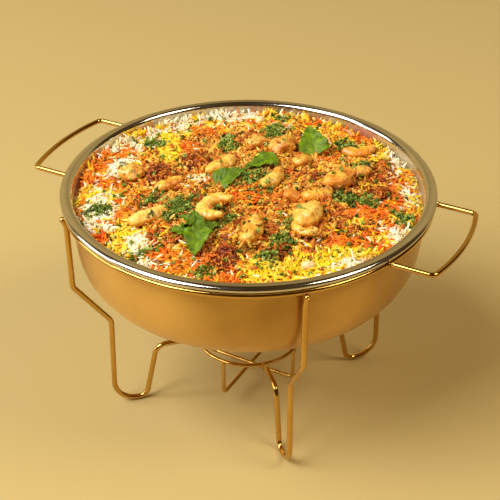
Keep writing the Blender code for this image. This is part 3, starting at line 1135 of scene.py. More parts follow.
class HeapField:
    """Heights of the heap, read from the frame's rice and the toppings seated in it.

    `ground` is the rice alone, carried on under each topping, and `skin` is the top of
    everything but the leaves. `covered` is 1 where a topping hides the rice, `beside` is 1
    on and around the bigger toppings, and `shaded` is 1 under a leaf.
    """

    def __init__(self, radius: float, step: float = 2.0 * MM) -> None:
        """Casts a grid of rays down on the rice and the toppings.

        Args:
            radius: the heap's radius at the wall.
            step: the grid's spacing.
        """
        self.radius = radius
        self.step = step
        self.half = int(math.ceil(radius / step)) + 1
        axis = np.arange(-self.half, self.half + 1) * step
        self.x, self.y = np.meshgrid(axis, axis, indexing="ij")
        self.reach = np.hypot(self.x, self.y)
        rice = search_tree(["rice"])
        seated = [n for kind in ("prawn_", "chunk_", "onion_clump_", "nut_") for n in nodes_named(kind)]
        toppings = search_tree(seated)
        bigger = search_tree([name for name in seated if not name.startswith("onion")])
        leaves = search_tree(nodes_named("mint_leaf_"))
        ground, skin = np.full((2, *self.x.shape), np.nan)
        self.covered, self.beside, self.shaded = np.zeros((3, *self.x.shape))
        for i, j in np.ndindex(self.x.shape):
            spot = (self.x[i, j], self.y[i, j])
            if math.hypot(*spot) > radius - 0.5 * step:
                continue
            rice_z = height_under(rice, *spot)
            top_z = height_under(toppings, *spot)
            if top_z is not None:
                self.covered[i, j] = 1.0
                skin[i, j] = max(top_z, rice_z or 0.0)
            elif rice_z is not None:
                ground[i, j] = skin[i, j] = rice_z
            self.shaded[i, j] = height_under(leaves, *spot) is not None
            self.beside[i, j] = height_under(bigger, *spot) is not None
        # seats are cut a little wider than their toppings, so a cell's neighbours count as covered
        ground[self._spread(self.covered) > 0] = np.nan
        self.beside = self._spread(self.beside)
        self.ground = self._fill(ground)
        # the facets of the solid are rounded off
        for _ in range(3):
            self.ground = 0.5 * self.ground + 0.5 * self._neighbours(self.ground)
        # the clump by the rim in front has slumped into the rice
        slumped = self.slumped(self.x, self.y) & (self.beside == 0)
        self.skin = np.where(slumped, self.ground, self._fill(skin))

    @staticmethod
    def slumped(x: Grid, y: Grid) -> Grid:
        """Whether a spot is in the front, where a clump of onion has slumped into the rice."""
        return (y < -112 * MM) & (x < 4 * MM)

    @staticmethod
    def _shifted(values: Grid) -> list[Grid]:
        """A grid moved by one cell each of the four ways."""
        return [np.roll(values, shift, axis) for axis in (0, 1) for shift in (-1, 1)]

    def _spread(self, mask: Grid) -> Grid:
        """A mask grown by one cell all round."""
        return np.max([mask, *self._shifted(mask)], axis=0)

    def _neighbours(self, values: Grid) -> Grid:
        """The mean of each cell's four neighbours."""
        return sum(self._shifted(values)) / 4

    def _fill(self, values: Grid) -> Grid:
        """Fills the empty cells smoothly.

        Args:
            values: the grid, with NaN where it is empty.

        Returns:
            The full grid.
        """
        empty = np.isnan(values)
        filled = np.where(empty, np.nanmean(values), values)
        for _ in range(160):
            filled = np.where(empty, self._neighbours(filled), values)
        return filled

    def patches(self, patches: Sequence[Patch]) -> Grid:
        """How strongly a set of patches covers each spot.

        Args:
            patches: the patches.

        Returns:
            Their sum.
        """
        total = np.zeros_like(self.x)
        for patch in patches:
            along = (self.x / MM - patch.x) / patch.across
            off = (self.y / MM - patch.y) / patch.deep
            total += patch.strength * np.exp(-((along**2 + off**2) ** 1.5))
        return total

    def clumps(self, size: float, seed: float, strength: float) -> Grid:
        """A factor that gathers things into clumps.

        Args:
            size: about how wide a clump is.
            seed: picks one pattern of clumps.
            strength: how marked they are.

        Returns:
            The factor.
        """
        values = np.empty(self.x.shape)
        for i in np.ndindex(values.shape):
            values[i] = noise.noise(Vector((self.x[i] / size, self.y[i] / size, seed)))
        return np.exp(strength * values)

    def sample(self, values: Grid, x: Grid, y: Grid) -> Grid:
        """Reads a grid between its cells.

        Args:
            values: one of the field's grids.
            x: the spots' x, in metres.
            y: the spots' y, in metres.

        Returns:
            The grid's values there.
        """
        u = np.clip(np.asarray(x) / self.step + self.half, 0, 2 * self.half - 1e-6)
        v = np.clip(np.asarray(y) / self.step + self.half, 0, 2 * self.half - 1e-6)
        i, j = u.astype(int), v.astype(int)
        fu, fv = u - i, v - j
        low = values[i, j] * (1 - fv) + values[i, j + 1] * fv
        high = values[i + 1, j] * (1 - fv) + values[i + 1, j + 1] * fv
        return low * (1 - fu) + high * fu

    def sheet(
        self, heights: Grid, weight: Grid, margin: float, step: float = 3.0 * MM
    ) -> tuple[Mesh, float]:
        """A surface to strew things over.

        Args:
            heights: the grid of heights that it follows.
            weight: the grid of weights that it carries.
            margin: how far inside the wall it ends.
            step: the spacing of its own cells.

        Returns:
            The mesh with its "weight", and that weight summed over the surface in square metres.
        """
        reach = self.radius - margin
        count = int(reach / step)
        axis = np.arange(-count, count + 1) * step
        x, y = np.meshgrid(axis, axis, indexing="ij")
        z = self.sample(heights, x, y)
        w = np.where(np.hypot(x, y) <= reach, self.sample(weight, x, y), 0.0)
        side = len(axis)
        verts = np.stack([x, y, z], -1).reshape(-1, 3)
        faces = []
        for i, j in np.ndindex(side - 1, side - 1):
            if math.hypot(axis[i] + step / 2, axis[j] + step / 2) <= reach:
                a = i * side + j
                faces.append((a, a + side, a + side + 1, a + 1))
        mesh = bpy.data.meshes.new("sheet")
        mesh.from_pydata(verts.tolist(), [], faces)
        write_attribute(mesh, "weight", w.reshape(-1))
        return mesh, float(w.sum()) * step * step


def tube_shape(points: Sequence[Vector], widths: Sequence[float], flatness: float, sides: int) -> Shape:
    """A closed rounded strand along some points, drawn to a point at both ends.

    Args:
        points: the centre line, ends included.
        widths: the radius at each inner point.
        flatness: the section's height as a share of its width.
        sides: how many sides the section has.

    Returns:
        The shape.
    """
    shape = bmesh.new()
    rings = []
    for i in range(1, len(points) - 1):
        along = (points[i + 1] - points[i - 1]).normalized()
        side = along.cross(Vector((0, 0, 1)))
        side = side.normalized() if side.length > 1e-6 else Vector((0, 1, 0))
        up = side.cross(along)
        ring = []
        for k in range(sides):
            a = 2 * math.pi * (k + 0.5) / sides
            offset = side * math.cos(a) + up * math.sin(a) * flatness
            ring.append(shape.verts.new(points[i] + offset * widths[i - 1]))
        rings.append(ring)
    for ring, following in zip(rings, rings[1:]):
        for k in range(sides):
            j = (k + 1) % sides
            shape.faces.new((ring[k], ring[j], following[j], following[k]))
    for end, ring in ((points[0], rings[0]), (points[-1], rings[-1])):
        tip = shape.verts.new(end)
        for k in range(sides):
            shape.faces.new((tip, ring[k], ring[(k + 1) % sides]))
    bmesh.ops.recalc_face_normals(shape, faces=shape.faces)
    return shape


@cache
def scatter() -> Scatter:
    """The scatter tree that everything strewn shares."""
    return Scatter()


@dataclass
class Strewing:
    """How a kind of small thing is strewn."""

    count: int
    tilt: float  # degrees either way
    roll: float
    lift: tuple[float, float]  # least and most
    seed: int
    lean: float = 0.0  # degrees added to every tilt
    scale: tuple[float, float] = (0.85, 1.15)

    def run(self, sheet: tuple[Mesh, float], shapes: Iterable[Shape], material: Material) -> Mesh:
        """Strews small shapes over a sheet.

        Args:
            sheet: the surface and its summed weight.
            shapes: the shapes to pick from, used up.
            material: what they are dressed in.

        Returns:
            The mesh of everything strewn.
        """
        items = bpy.data.collections.new("items")
        for number, shape in enumerate(shapes):
            items.objects.link(bpy.data.objects.new(f"item_{number}", shape_to_mesh(shape)))
        bpy.context.view_layer.update()
        surface, area = sheet
        made = scatter().run(
            surface, Items=items, Density=self.count / max(area, 1e-9), Seed=self.seed,
            Tilt=math.radians(self.tilt), Lean=math.radians(self.lean), Roll=math.radians(self.roll),
            Smallest=self.scale[0], Largest=self.scale[1], Lowest=self.lift[0], Highest=self.lift[1],
            Material=material,
        )
        for item in list(items.objects):
            bpy.data.objects.remove(item, do_unlink=True)
        bpy.data.collections.remove(items)
        return made


def read_all(items: Sequence, key: str, kind: type, width: int = 1) -> Grid:
    """Reads a value from each of a mesh's parts.

    Args:
        items: the parts.
        key: the value's name.
        kind: its type.
        width: how many numbers it holds.

    Returns:
        One value or row for each part.
    """
    values = np.empty(width * len(items), kind)
    items.foreach_get(key, values)
    return values


def joined(meshes: Sequence[Mesh]) -> Mesh:
    """Joins meshes into one.

    Args:
        meshes: the meshes.

    Returns:
        The whole, with their "shade" and the first one's material.
    """
    spots, corners, sizes, shades = [], [], [], []
    start = 0
    for mesh in meshes:
        spots.append(read_all(mesh.vertices, "co", np.float32, 3))
        corners.append(read_all(mesh.loops, "vertex_index", np.int32) + start)
        sizes.append(read_all(mesh.polygons, "loop_total", np.int32))
        shades.append(read_all(mesh.attributes["shade"].data, "value", np.float32))
        start += len(mesh.vertices)
    size = np.concatenate(sizes)
    whole = bpy.data.meshes.new("joined")
    whole.vertices.add(start)
    whole.vertices.foreach_set("co", np.concatenate(spots))
    whole.loops.add(int(size.sum()))
    whole.loops.foreach_set("vertex_index", np.concatenate(corners))
    whole.polygons.add(len(size))
    whole.polygons.foreach_set("loop_start", np.concatenate(([0], np.cumsum(size)[:-1])).astype(np.int32))
    whole.update(calc_edges=True)
    write_attribute(whole, "shade", np.concatenate(shades))
    whole.materials.append(next(material for material in meshes[0].materials if material))
    whole.shade_smooth()
    for mesh in meshes:
        bpy.data.meshes.remove(mesh)
    return whole


class Grain(Enum):
    """The kinds of rice, by what coloured them."""

    WHITE = "white"
    YELLOW = "yellow"
    ORANGE = "orange"
    AMBER = "amber"
    RUSSET = "russet"


@dataclass(frozen=True)
class GrainLook:
    """How a kind of rice looks: the tints of its grains, what stains them, and their build."""

    tints: tuple[Colour, ...]
    stain: Colour
    stain_cover: float
    length: float  # as a share of the plain grain
    width: float
    tilt: float  # degrees


GRAIN_LOOKS: dict[Grain, GrainLook] = {
    Grain.WHITE: GrainLook(
        ((0.94, 0.88, 0.7), (0.93, 0.84, 0.6), (0.95, 0.9, 0.76), (0.93, 0.76, 0.36)), (0.94, 0.74, 0.3),
        0.34, 1.05, 1.0, 24,
    ),
    Grain.YELLOW: GrainLook(
        ((0.93, 0.66, 0.008), (0.95, 0.76, 0.03), (0.92, 0.56, 0.01), (0.95, 0.8, 0.2)), (0.9, 0.5, 0.008),
        0.3, 1.0, 1.0, 22,
    ),
    Grain.ORANGE: GrainLook(
        ((0.84, 0.15, 0.008), (0.88, 0.24, 0.01), (0.9, 0.38, 0.015), (0.8, 0.11, 0.01)),
        (0.74, 0.1, 0.006), 0.35, 0.85, 1.1, 24,
    ),
    Grain.AMBER: GrainLook(
        ((0.86, 0.46, 0.02), (0.9, 0.58, 0.06), (0.8, 0.33, 0.015), (0.93, 0.7, 0.2)), (0.7, 0.26, 0.012),
        0.38, 0.5, 1.4, 44,
    ),
    Grain.RUSSET: GrainLook(
        ((0.56, 0.1, 0.01), (0.68, 0.21, 0.015), (0.4, 0.05, 0.008), (0.76, 0.32, 0.03)),
        (0.26, 0.04, 0.007), 0.4, 0.5, 1.4, 44,
    ),
}

GRAIN_PATCHES: dict[Grain, tuple[Patch, ...]] = {
    Grain.WHITE: ovals(
        (-104, -94, 10, 14, 14), (-90, -124, 9, 9, 12), (100, -128, 9, 8, 10), (-130, 41, 12, 13, 6),
        (-132, 90, 12, 12, 6), (-84, 144, 30, 12, 5), (-20, 157, 34, 9, 5), (150, 62, 8, 20, 8),
        (137, -80, 9, 12, 6), (62, -148, 20, 7, 5), (-145, -48, 9, 30, 5), (-126, 65, 12, 9, 4),
        (85, -125, 8, 8, 4), (-133, -38, 8, 12, 5), (-128, -64, 8, 9, 5), (152, -4, 5, 16, 5),
        (-131, -10, 9, 8, 7), (78, -13, 6, 6, 4), (-49, 12, 12, 8, 7), (-72, -132, 9, 7, 6),
    ),
    Grain.YELLOW: ovals(
        (-135, -14, 11, 14, 5), (-81, 80, 9, 26, 20), (24, -136, 24, 13, 26), (92, -114, 20, 9, 16),
        (-108, -74, 10, 9, 10), (110, 100, 9, 9, 6), (-41, 141, 7, 7, 6), (118, -88, 8, 10, 6),
        (48, -124, 10, 10, 8), (23, 152, 7, 7, 5), (-112, -90, 12, 14, 5), (-70, -120, 8, 6, 4),
        (66, -120, 10, 7, 5), (100, -68, 8, 9, 5), (56, -132, 13, 9, 10), (-112, -63, 9, 7, 4),
    ),
    Grain.ORANGE: ovals(
        (-147, 50, 9, 12, 10), (-160, 21, 7, 14, 9), (-140, -75, 9, 16, 9), (-74, -123, 13, 15, 9),
        (-50, -130, 16, 13, 9), (-18, -148, 16, 9, 9), (-60, 77, 10, 16, 7), (81, -100, 8, 14, 12),
        (129, -34, 12, 13, 8), (115, 106, 16, 11, 8), (-115, -52, 8, 10, 6), (-5, -32, 9, 14, 5),
        (-110, 0, 18, 16, 2), (75, 60, 14, 10, 2.5), (108, -48, 14, 12, 2.2), (140, -14, 8, 16, 2.2),
        (-36, -134, 10, 8, 5), (-138, 18, 8, 10, 6), (70, 14, 12, 9, 2.5), (104, -72, 10, 12, 3),
        (20, 68, 14, 10, 3), (-10, -134, 14, 9, 8), (10, -17, 24, 9, 9), (-128, 70, 10, 8, 5),
        (116, -96, 10, 9, 3), (38, -38, 12, 10, 2.5), (-60, 62, 12, 8, 2.5), (-82, -48, 10, 8, 2.5),
        (66, 142, 10, 7, 3), (-45, 118, 10, 8, 2.5),
    ),
    Grain.AMBER: ovals((0, 60, 70, 60, 1.2), (60, 30, 60, 50, 1.0), (-60, 10, 60, 60, 0.8)),
    Grain.RUSSET: ovals(
        (-88, 30, 18, 20, 2.2), (-53, 54, 14, 20, 2.2), (120, 10, 22, 18, 2.4), (60, 20, 18, 14, 1.6),
        (-28, -110, 18, 22, 2.4), (22, -84, 16, 18, 2.4), (40, 110, 20, 16, 1.6), (-36, -14, 18, 14, 1),
        (88, -66, 20, 20, 2), (110, 30, 22, 14, 2.2), (130, 48, 14, 11, 4), (56, -102, 9, 7, 3),
        (-76, -92, 12, 10, 1.8), (-58, 34, 12, 10, 2), (28, 108, 12, 9, 2.2), (46, 106, 10, 10, 4),
        (0, 106, 10, 9, 2), (-22, -44, 9, 8, 3), (40, -66, 9, 9, 2), (-28, 70, 14, 10, 3),
        (-30, 104, 30, 9, 1.8), (48, -62, 12, 12, 2.4), (20, -68, 10, 12, 4), (110, -82, 9, 8, 3),
        (-92, -38, 12, 8, 4), (-112, -36, 8, 8, 4), (2, 12, 10, 8, 2), (58, -16, 10, 10, 2),
        (103, 74, 10, 12, 2.4), (-56, -16, 10, 8, 1.6), (-72, -63, 10, 8, 1.8), (138, 26, 9, 14, 3),
        (81, 46, 10, 8, 2),
    ),
}


@dataclass
class RiceHeap:
    """The heap: a core that fills the bowl, and loose grains of every kind on top."""

    heap: HeapField
    bowl: Bowl
    gap: float = 0.3 * MM
    core_drop: float = 3.2 * MM
    relief: float = 1.1 * MM
    spokes: int = 300
    rings: int = 84
    grain_length: float = 10.8 * MM
    grain_width: float = 2.3 * MM
    grains: int = 12500
    grain_limit: int = 4600  # of one kind
    standing: int = 640
    sharpness: float = 2.7  # how far the commonest kind crowds out the others
    stray: float = 0.02  # share of each kind that lies anywhere
    weights: dict[Grain, Grid] = field(default_factory=dict)

    def share_out(self) -> None:
        """Works out how much of each kind of grain lies at every spot of the heap."""
        reach = self.heap.reach / MM
        middle = np.exp(-((reach / 118) ** 6))
        edge = 1 / (1 + np.exp(-(reach - 132) / 7))
        left = np.clip(0.7 - self.heap.x / (150 * MM), 0.3, 1.0)
        base = {
            Grain.WHITE: 0.16 + 0.5 * edge * left, Grain.YELLOW: 0.38 + 0.26 * edge,
            Grain.ORANGE: 0.42 + 0.2 * edge * (1 - 0.5 * left), Grain.AMBER: 0.5 + 0.7 * middle,
            Grain.RUSSET: 0.12 + 0.52 * middle,
        }
        for number, kind in enumerate(Grain):
            raw = base[kind] + self.heap.patches(GRAIN_PATCHES[kind])
            raw = raw * self.heap.clumps(15 * MM, 5.3 * number, 1.8)
            raw = raw * self.heap.clumps(7 * MM, 9.1 * number, 1.2)
            self.weights[kind] = raw**self.sharpness
        total = sum(self.weights.values())
        for kind in Grain:
            self.weights[kind] = self.weights[kind] / total * (1 - len(Grain) * self.stray) + self.stray

    @property
    def brown(self) -> Grid:
        """How much of the rice at every spot is amber or russet."""
        return self.weights[Grain.AMBER] + self.weights[Grain.RUSSET]

    def _tint_at(self, x: Grid, y: Grid) -> Grid:
        """The mean colour of the grains over each spot, drawn towards the commonest kind.

        Args:
            x: where the spots are along X.
            y: where they are along Y.

        Returns:
            One colour for each spot.
        """
        total = np.zeros((len(x), 3))
        weight = np.zeros((len(x), 1))
        for kind in Grain:
            share = self.heap.sample(self.weights[kind], x, y)[:, None] ** 1.6
            total += share * np.mean(GRAIN_LOOKS[kind].tints, axis=0)
            weight += share
        return total / weight

    def build_core(self) -> None:
        """Makes the core in painted shade: an uneven top a little under the grains, and the bowl's inside
        below.
        """
        wall = self.bowl.curve(self.bowl.wall + self.gap, 14)
        radii = [wall[0][0] * (i / self.rings) ** 0.9 for i in range(1, self.rings + 1)]
        turns = [2 * math.pi * i / self.spokes for i in range(self.spokes)]
        spots = [(reach * math.cos(turn), reach * math.sin(turn)) for reach in radii for turn in turns]
        tops = self.heap.sample(self.heap.ground, *np.array([*spots, (0.0, 0.0)]).T) - self.core_drop
        verts: list[tuple] = []
        for (x, y), top in zip(spots, tops):
            bump = noise.noise(Vector((x, y, 0.0)) / (2.6 * MM))
            bump += 0.7 * noise.noise(Vector((x, y, 9.0)) / (7 * MM))
            verts.append((x, y, self.relief * bump + top))
        # the last ring of the top follows the wall, which leans in on its way down
        (lean_r, lean_z), (below_r, below_z) = wall[:2]
        first = len(verts) - self.spokes
        for i, turn in enumerate(turns, first):
            share = min(max((lean_z - tops[i]) / (lean_z - below_z), 0.0), 1.0)
            reach = lean_r + (below_r - lean_r) * share
            verts[i] = (reach * math.cos(turn), reach * math.sin(turn), tops[i])
        floor = tops[first:-1].min() - self.core_drop
        lower = [point for point in wall[1:-1] if point[1] < floor]
        for reach, z in lower:
            verts += [(reach * math.cos(t), reach * math.sin(t), z) for t in turns]
        top = len(verts)
        verts += [(0.0, 0.0, float(tops[-1])), (0.0, 0.0, wall[-1][1])]
        around = [(i, (i + 1) % self.spokes) for i in range(self.spokes)]
        last = top - self.spokes
        faces = [
            (row + i, row + self.spokes + i, row + self.spokes + j, row + j)
            for row in range(0, last, self.spokes)
            for i, j in around
        ]
        faces += [(top, i, j) for i, j in around]
        faces += [(top + 1, last + j, last + i) for i, j in around]
        mesh = bpy.data.meshes.new("rice_core")
        mesh.from_pydata(verts, [], faces)
        mesh.shade_smooth()
        spots = np.array(verts)
        tints = np.ones((len(verts), 4), np.float32)
        # the core shows only between the grains, so its tint is painted darker there as shade, most in the
        # middle
        inner = np.exp(-((np.hypot(spots[:, 0], spots[:, 1]) / (112 * MM)) ** 6))
        tints[:, :3] = (0.85 - 0.55 * inner)[:, None] * self._tint_at(spots[:, 0], spots[:, 1])
        layer = mesh.attributes.new("tint", "FLOAT_COLOR", "POINT")
        layer.data.foreach_set("color", tints.reshape(-1))
        finish = CoreFinish("packed rice", 0.55, (1.6 * MM, 0.9 * MM))
        mesh.materials.append(finish.material())
        add_piece("rice_core", mesh, "rice", ["rice"])

    def _grain_shape(self, length: float, width: float, sag: float) -> Shape:
        """A long cooked grain with blunt ends.

        Args:
            length: its length.
            width: its width.
            sag: how far it is bowed, as a share of its length.

        Returns:
            The grain.
        """
        stations = (-0.5, -0.45, -0.18, 0.18, 0.45, 0.5)
        girths = (0.62, 1.0, 0.96, 0.55)
        points = [Vector((length * s, length * sag * (4 * s * s - 0.5), 0)) for s in stations]
        return tube_shape(points, [0.5 * width * g for g in girths], 0.86, 5)

    def _grain_shapes(self, look: GrainLook) -> list[Shape]:
        """Makes the shapes that a kind of grain comes in.

        Args:
            look: the kind.

        Returns:
            The shapes.
        """
        length, width = look.length * self.grain_length, look.width * self.grain_width
        sizes = ((1.0, 1.0, 0.03), (1.14, 0.94, -0.07), (0.9, 1.05, 0.1), (0.6, 1.02, 0.02))
        return [self._grain_shape(length * a, width * b, sag) for a, b, sag in sizes]

    def _by_wall(self) -> Grid:
        """Finds where grains stand on end.

        Returns:
            A weight, high by the wall and most of all on its far side.
        """
        turn = np.degrees(np.arctan2(self.heap.y, self.heap.x))
        far_side = np.clip((turn - 20) / 20, 0, 1) * np.clip((215 - turn) / 25, 0, 1)
        return np.where(self.heap.reach > self.heap.radius - 13 * MM, 1.0, 0.0) * (0.25 + far_side)

    def build_grains(self) -> None:
        """Strews the loose grains, one piece for each kind."""
        open_rice = 1 - self.heap.covered
        calm = self.heap.ground - 1.6 * MM * self.heap.shaded - 1.4 * MM * self.heap.beside
        total = sum((self.weights[kind] * open_rice).sum() for kind in Grain)
        by_wall = self._by_wall()
        for number, kind in enumerate(Grain):
            look = GRAIN_LOOKS[kind]
            material = FoodFinish(
                f"{kind.value} rice", tints=look.tints, patch_tint=look.stain,
                patches=(8 * MM, look.stain_cover), rough=(0.42, 0.28), lumps=(1.2 * MM, 0.05 * MM),
                soft=0.12, soft_depth=1.2 * MM, gloss=0.5 if kind is Grain.WHITE else 0.3,
            ).material()
            weight = self.weights[kind] * open_rice
            lying = Strewing(
                count=min(self.grain_limit, int(self.grains * weight.sum() / total)), tilt=look.tilt,
                roll=180, lift=(-2.4 * MM, 1.0 * MM), seed=11 + number,
            )
            upright = weight * by_wall
            share = upright.sum() / (by_wall * open_rice).sum()
            standing = Strewing(
                count=int(self.standing * share), tilt=26, lean=-52, roll=180, lift=(0.5 * MM, 3.5 * MM),
                scale=(0.9, 1.35), seed=31 + number,
            )
            meshes = [
                strewing.run(self.heap.sheet(calm, spread, 3.5 * MM), self._grain_shapes(look), material)
                for strewing, spread in ((lying, weight), (standing, upright))
            ]
            add_piece(f"rice_{kind.value}", joined(meshes), "rice")


# -------- toppings


@dataclass(frozen=True)
class Pose:
    """How a piece is set off from the solid that it dresses."""

    face: float = 0.0  # degrees it is turned towards the front, about the x axis
    spin: float = 0.0  # degrees it is turned about the upright
    grow: float = 1.0
    shift: tuple[float, float, float] = (0.0, 0.0, 0.0)  # in millimetres

    def matrix(self, middle: Vector) -> Matrix:
        """The pose as a transform.

        Args:
            middle: the piece's middle.

        Returns:
            The transform.
        """
        face, spin = math.radians(self.face), math.radians(self.spin)
        turn = Matrix.Rotation(face, 4, "X") @ Matrix.Rotation(spin, 4, "Z")
        place = Matrix.Translation(middle + Vector(self.shift) * MM)
        return place @ turn @ Matrix.Scale(self.grow, 4) @ Matrix.Translation(-middle)


def remeshed(names: Iterable[str], cell: float, smoothing: int) -> Mesh:
    """Rebuilds some of the frame's solids as an even mesh with its corners rounded off.

    Args:
        names: the solids.
        cell: the size of the new faces.
        smoothing: how many times the mesh is smoothed.

    Returns:
        The new mesh.
    """
    source = new_object("solid", shape_to_mesh(merged_copy(names)))
    modifier = source.modifiers.new("cells", "REMESH")
    modifier.mode = "VOXEL"
    modifier.voxel_size = cell
    soft = source.modifiers.new("soften", "SMOOTH")
    soft.factor = 0.5
    soft.iterations = smoothing
    made = plain_mesh(source)
    made.shade_smooth()
    return made


def lengthwise(mesh: Mesh) -> Grid:
    """Measures how far each vertex is from one end.

    Args:
        mesh: a long mesh.

    Returns:
        The distances along it, in metres.
    """
    spots = [v.co.copy() for v in mesh.vertices]
    middle = sum(spots, Vector()) / len(spots)
    start = max(range(len(spots)), key=lambda i: (spots[i] - middle).length)
    near: list[list[tuple[int, float]]] = [[] for _ in spots]
    for edge in mesh.edges:
        a, b = edge.vertices
        length = (spots[a] - spots[b]).length
        near[a].append((b, length))
        near[b].append((a, length))
    far = np.full(len(spots), np.inf)
    far[start] = 0.0
    queue = [(0.0, start)]
    while queue:
        reach, i = heapq.heappop(queue)
        if reach > far[i]:
            continue
        for j, length in near[i]:
            if reach + length < far[j]:
                far[j] = reach + length
                heapq.heappush(queue, (far[j], j))
    return far


MORSEL_POSES: dict[str, Pose] = {
    "prawn_2": Pose(spin=136, grow=1.06, shift=(7, -5, 1)), "prawn_5": Pose(grow=0.9, shift=(2, 4, 0)),
    "prawn_7": Pose(grow=1.05, shift=(0, -3, 0)), "prawn_9": Pose(grow=0.78, shift=(-8, 4, 0)),
}
# how much browner than the others a piece is fried
BROWNED = {
    "chunk_2": 0.15, "chunk_4": 0.45, "chunk_5": 0.55, "chunk_6": 0.35, "chunk_7": 0.3, "prawn_4": 0.25,
    "prawn_5": 0.25, "prawn_8": 0.35, "prawn_9": 0.2, "prawn_10": 0.5,
}


@dataclass
class Morsels:
    """The golden fried pieces: prawns with drawn-in segments, and rough chunks."""

    cell: float = 0.85 * MM
    segment: float = 8.0 * MM
    segment_depth: float = 0.5 * MM
    lump: float = 1.5 * MM
    lump_size: float = 10.0 * MM
    crisp: float = 0.16 * MM
    crisp_size: float = 2.2 * MM

    def _work_up(self, name: str, seed: float, segments: bool, swell: float, finish: Material) -> Mesh:
        """Turns one solid into a fried piece.

        Args:
            name: the frame's node.
            seed: sets its unevenness apart from the others'.
            segments: whether it is drawn in at segments, as a prawn is.
            swell: how far the whole surface is pushed out, in metres.
            finish: its material.

        Returns:
            The mesh, with "shade" painted darker down its sides, in its grooves and in its dips, as shade.
        """
        mesh = remeshed([name], self.cell, 4)
        along = lengthwise(mesh) if segments else None
        brown = 0.12 + BROWNED.get(name, 0.0)
        shade = np.empty(len(mesh.vertices))
        moved = np.empty((len(mesh.vertices), 3))
        for i, vert in enumerate(mesh.vertices):
            spot = vert.co
            lumps = noise.noise(spot / self.lump_size + Vector((0, 0, seed)))
            crisp = noise.noise(spot / self.crisp_size + Vector((seed, 0, 0)))
            push = swell + self.lump * lumps + self.crisp * crisp
            groove = 0.0
            if along is not None:
                place = along[i] + 0.5 * self.segment * noise.noise(spot / (12 * MM) + Vector((0, seed, 0)))
                groove = (0.5 + 0.5 * math.cos(2 * math.pi * place / self.segment)) ** 3
                push -= self.segment_depth * groove
            # pale top, darker sides, grooves and dips: painted light and shade, over its own browning
            side = 1 - max(vert.normal.z, 0.0)
            shade[i] = min(max(brown - 0.7 * lumps + 0.3 * groove + 0.6 * side, 0.0), 1.0)
            moved[i] = spot + vert.normal * push
        rework(mesh, moved, shade, finish)
        if name in MORSEL_POSES:
            mesh.transform(MORSEL_POSES[name].matrix(node_middle(name)))
            mesh.update()
        return mesh

    def build(self) -> None:
        """Makes every prawn and chunk as a piece of its own."""
        prawn = FoodFinish(
            "golden prawn", tints=((0.94, 0.67, 0.16), (0.91, 0.5, 0.06), (0.78, 0.27, 0.02)),
            patch_tint=(0.8, 0.34, 0.03), patches=(6 * MM, 0.3), fleck_tint=(0.42, 0.13, 0.012),
            flecks=(2.2 * MM, 0.2), rough=(0.38, 0.22), lumps=(1.2 * MM, 0.22 * MM), soft=0.15,
            soft_depth=2 * MM, coat=0.15,
        ).material()
        chunk = FoodFinish(
            "golden fried chunk", tints=((0.92, 0.6, 0.12), (0.86, 0.42, 0.045), (0.7, 0.22, 0.02)),
            patch_tint=(0.66, 0.22, 0.02), patches=(6 * MM, 0.35), fleck_tint=(0.32, 0.08, 0.008),
            flecks=(2.4 * MM, 0.26), rough=(0.45, 0.28), lumps=(1.4 * MM, 0.28 * MM), soft=0.1,
            soft_depth=2 * MM, coat=0.15,
        ).material()
        for i, name in enumerate(nodes_named("prawn_")):
            mesh = self._work_up(name, 3.1 * i, True, 1.2 * MM, prawn)
            add_piece(f"golden_{name}", mesh, "prawn", [name])
        for i, name in enumerate(nodes_named("chunk_")):
            mesh = self._work_up(name, 40 + 2.3 * i, False, 0.9 * MM, chunk)
            add_piece(f"fried_{name}", mesh, "fried_chunk", [name])


@dataclass
class Nuts:
    """Pale nuts, smooth and slightly dimpled."""

    cell: float = 0.5 * MM

    def build(self) -> None:
        """Makes every nut as a piece of its own."""
        finish = FoodFinish(
            "pale nut", tints=((0.9, 0.74, 0.42), (0.86, 0.62, 0.28)), patch_tint=(0.8, 0.52, 0.2),
            patches=(4 * MM, 0.3), rough=(0.4, 0.3), lumps=(0.8 * MM, 0.06 * MM), soft=0.15,
        ).material()
        for number, name in enumerate(nodes_named("nut_")):
            mesh = remeshed([name], self.cell, 6)
            moved = np.empty((len(mesh.vertices), 3))
            shade = np.empty(len(mesh.vertices))
            for i, vert in enumerate(mesh.vertices):
                dimple = noise.noise(vert.co / (4 * MM) + Vector((number, 0, 0)))
                moved[i] = vert.co + vert.normal * (0.3 + 0.35 * dimple) * MM
                # darker in the dips, lighter on the bumps: painted shade
                shade[i] = 0.5 - 0.8 * dimple
            rework(mesh, moved, np.clip(shade, 0, 1), finish)
            add_piece(f"pale_{name}", mesh, "nut", [name])


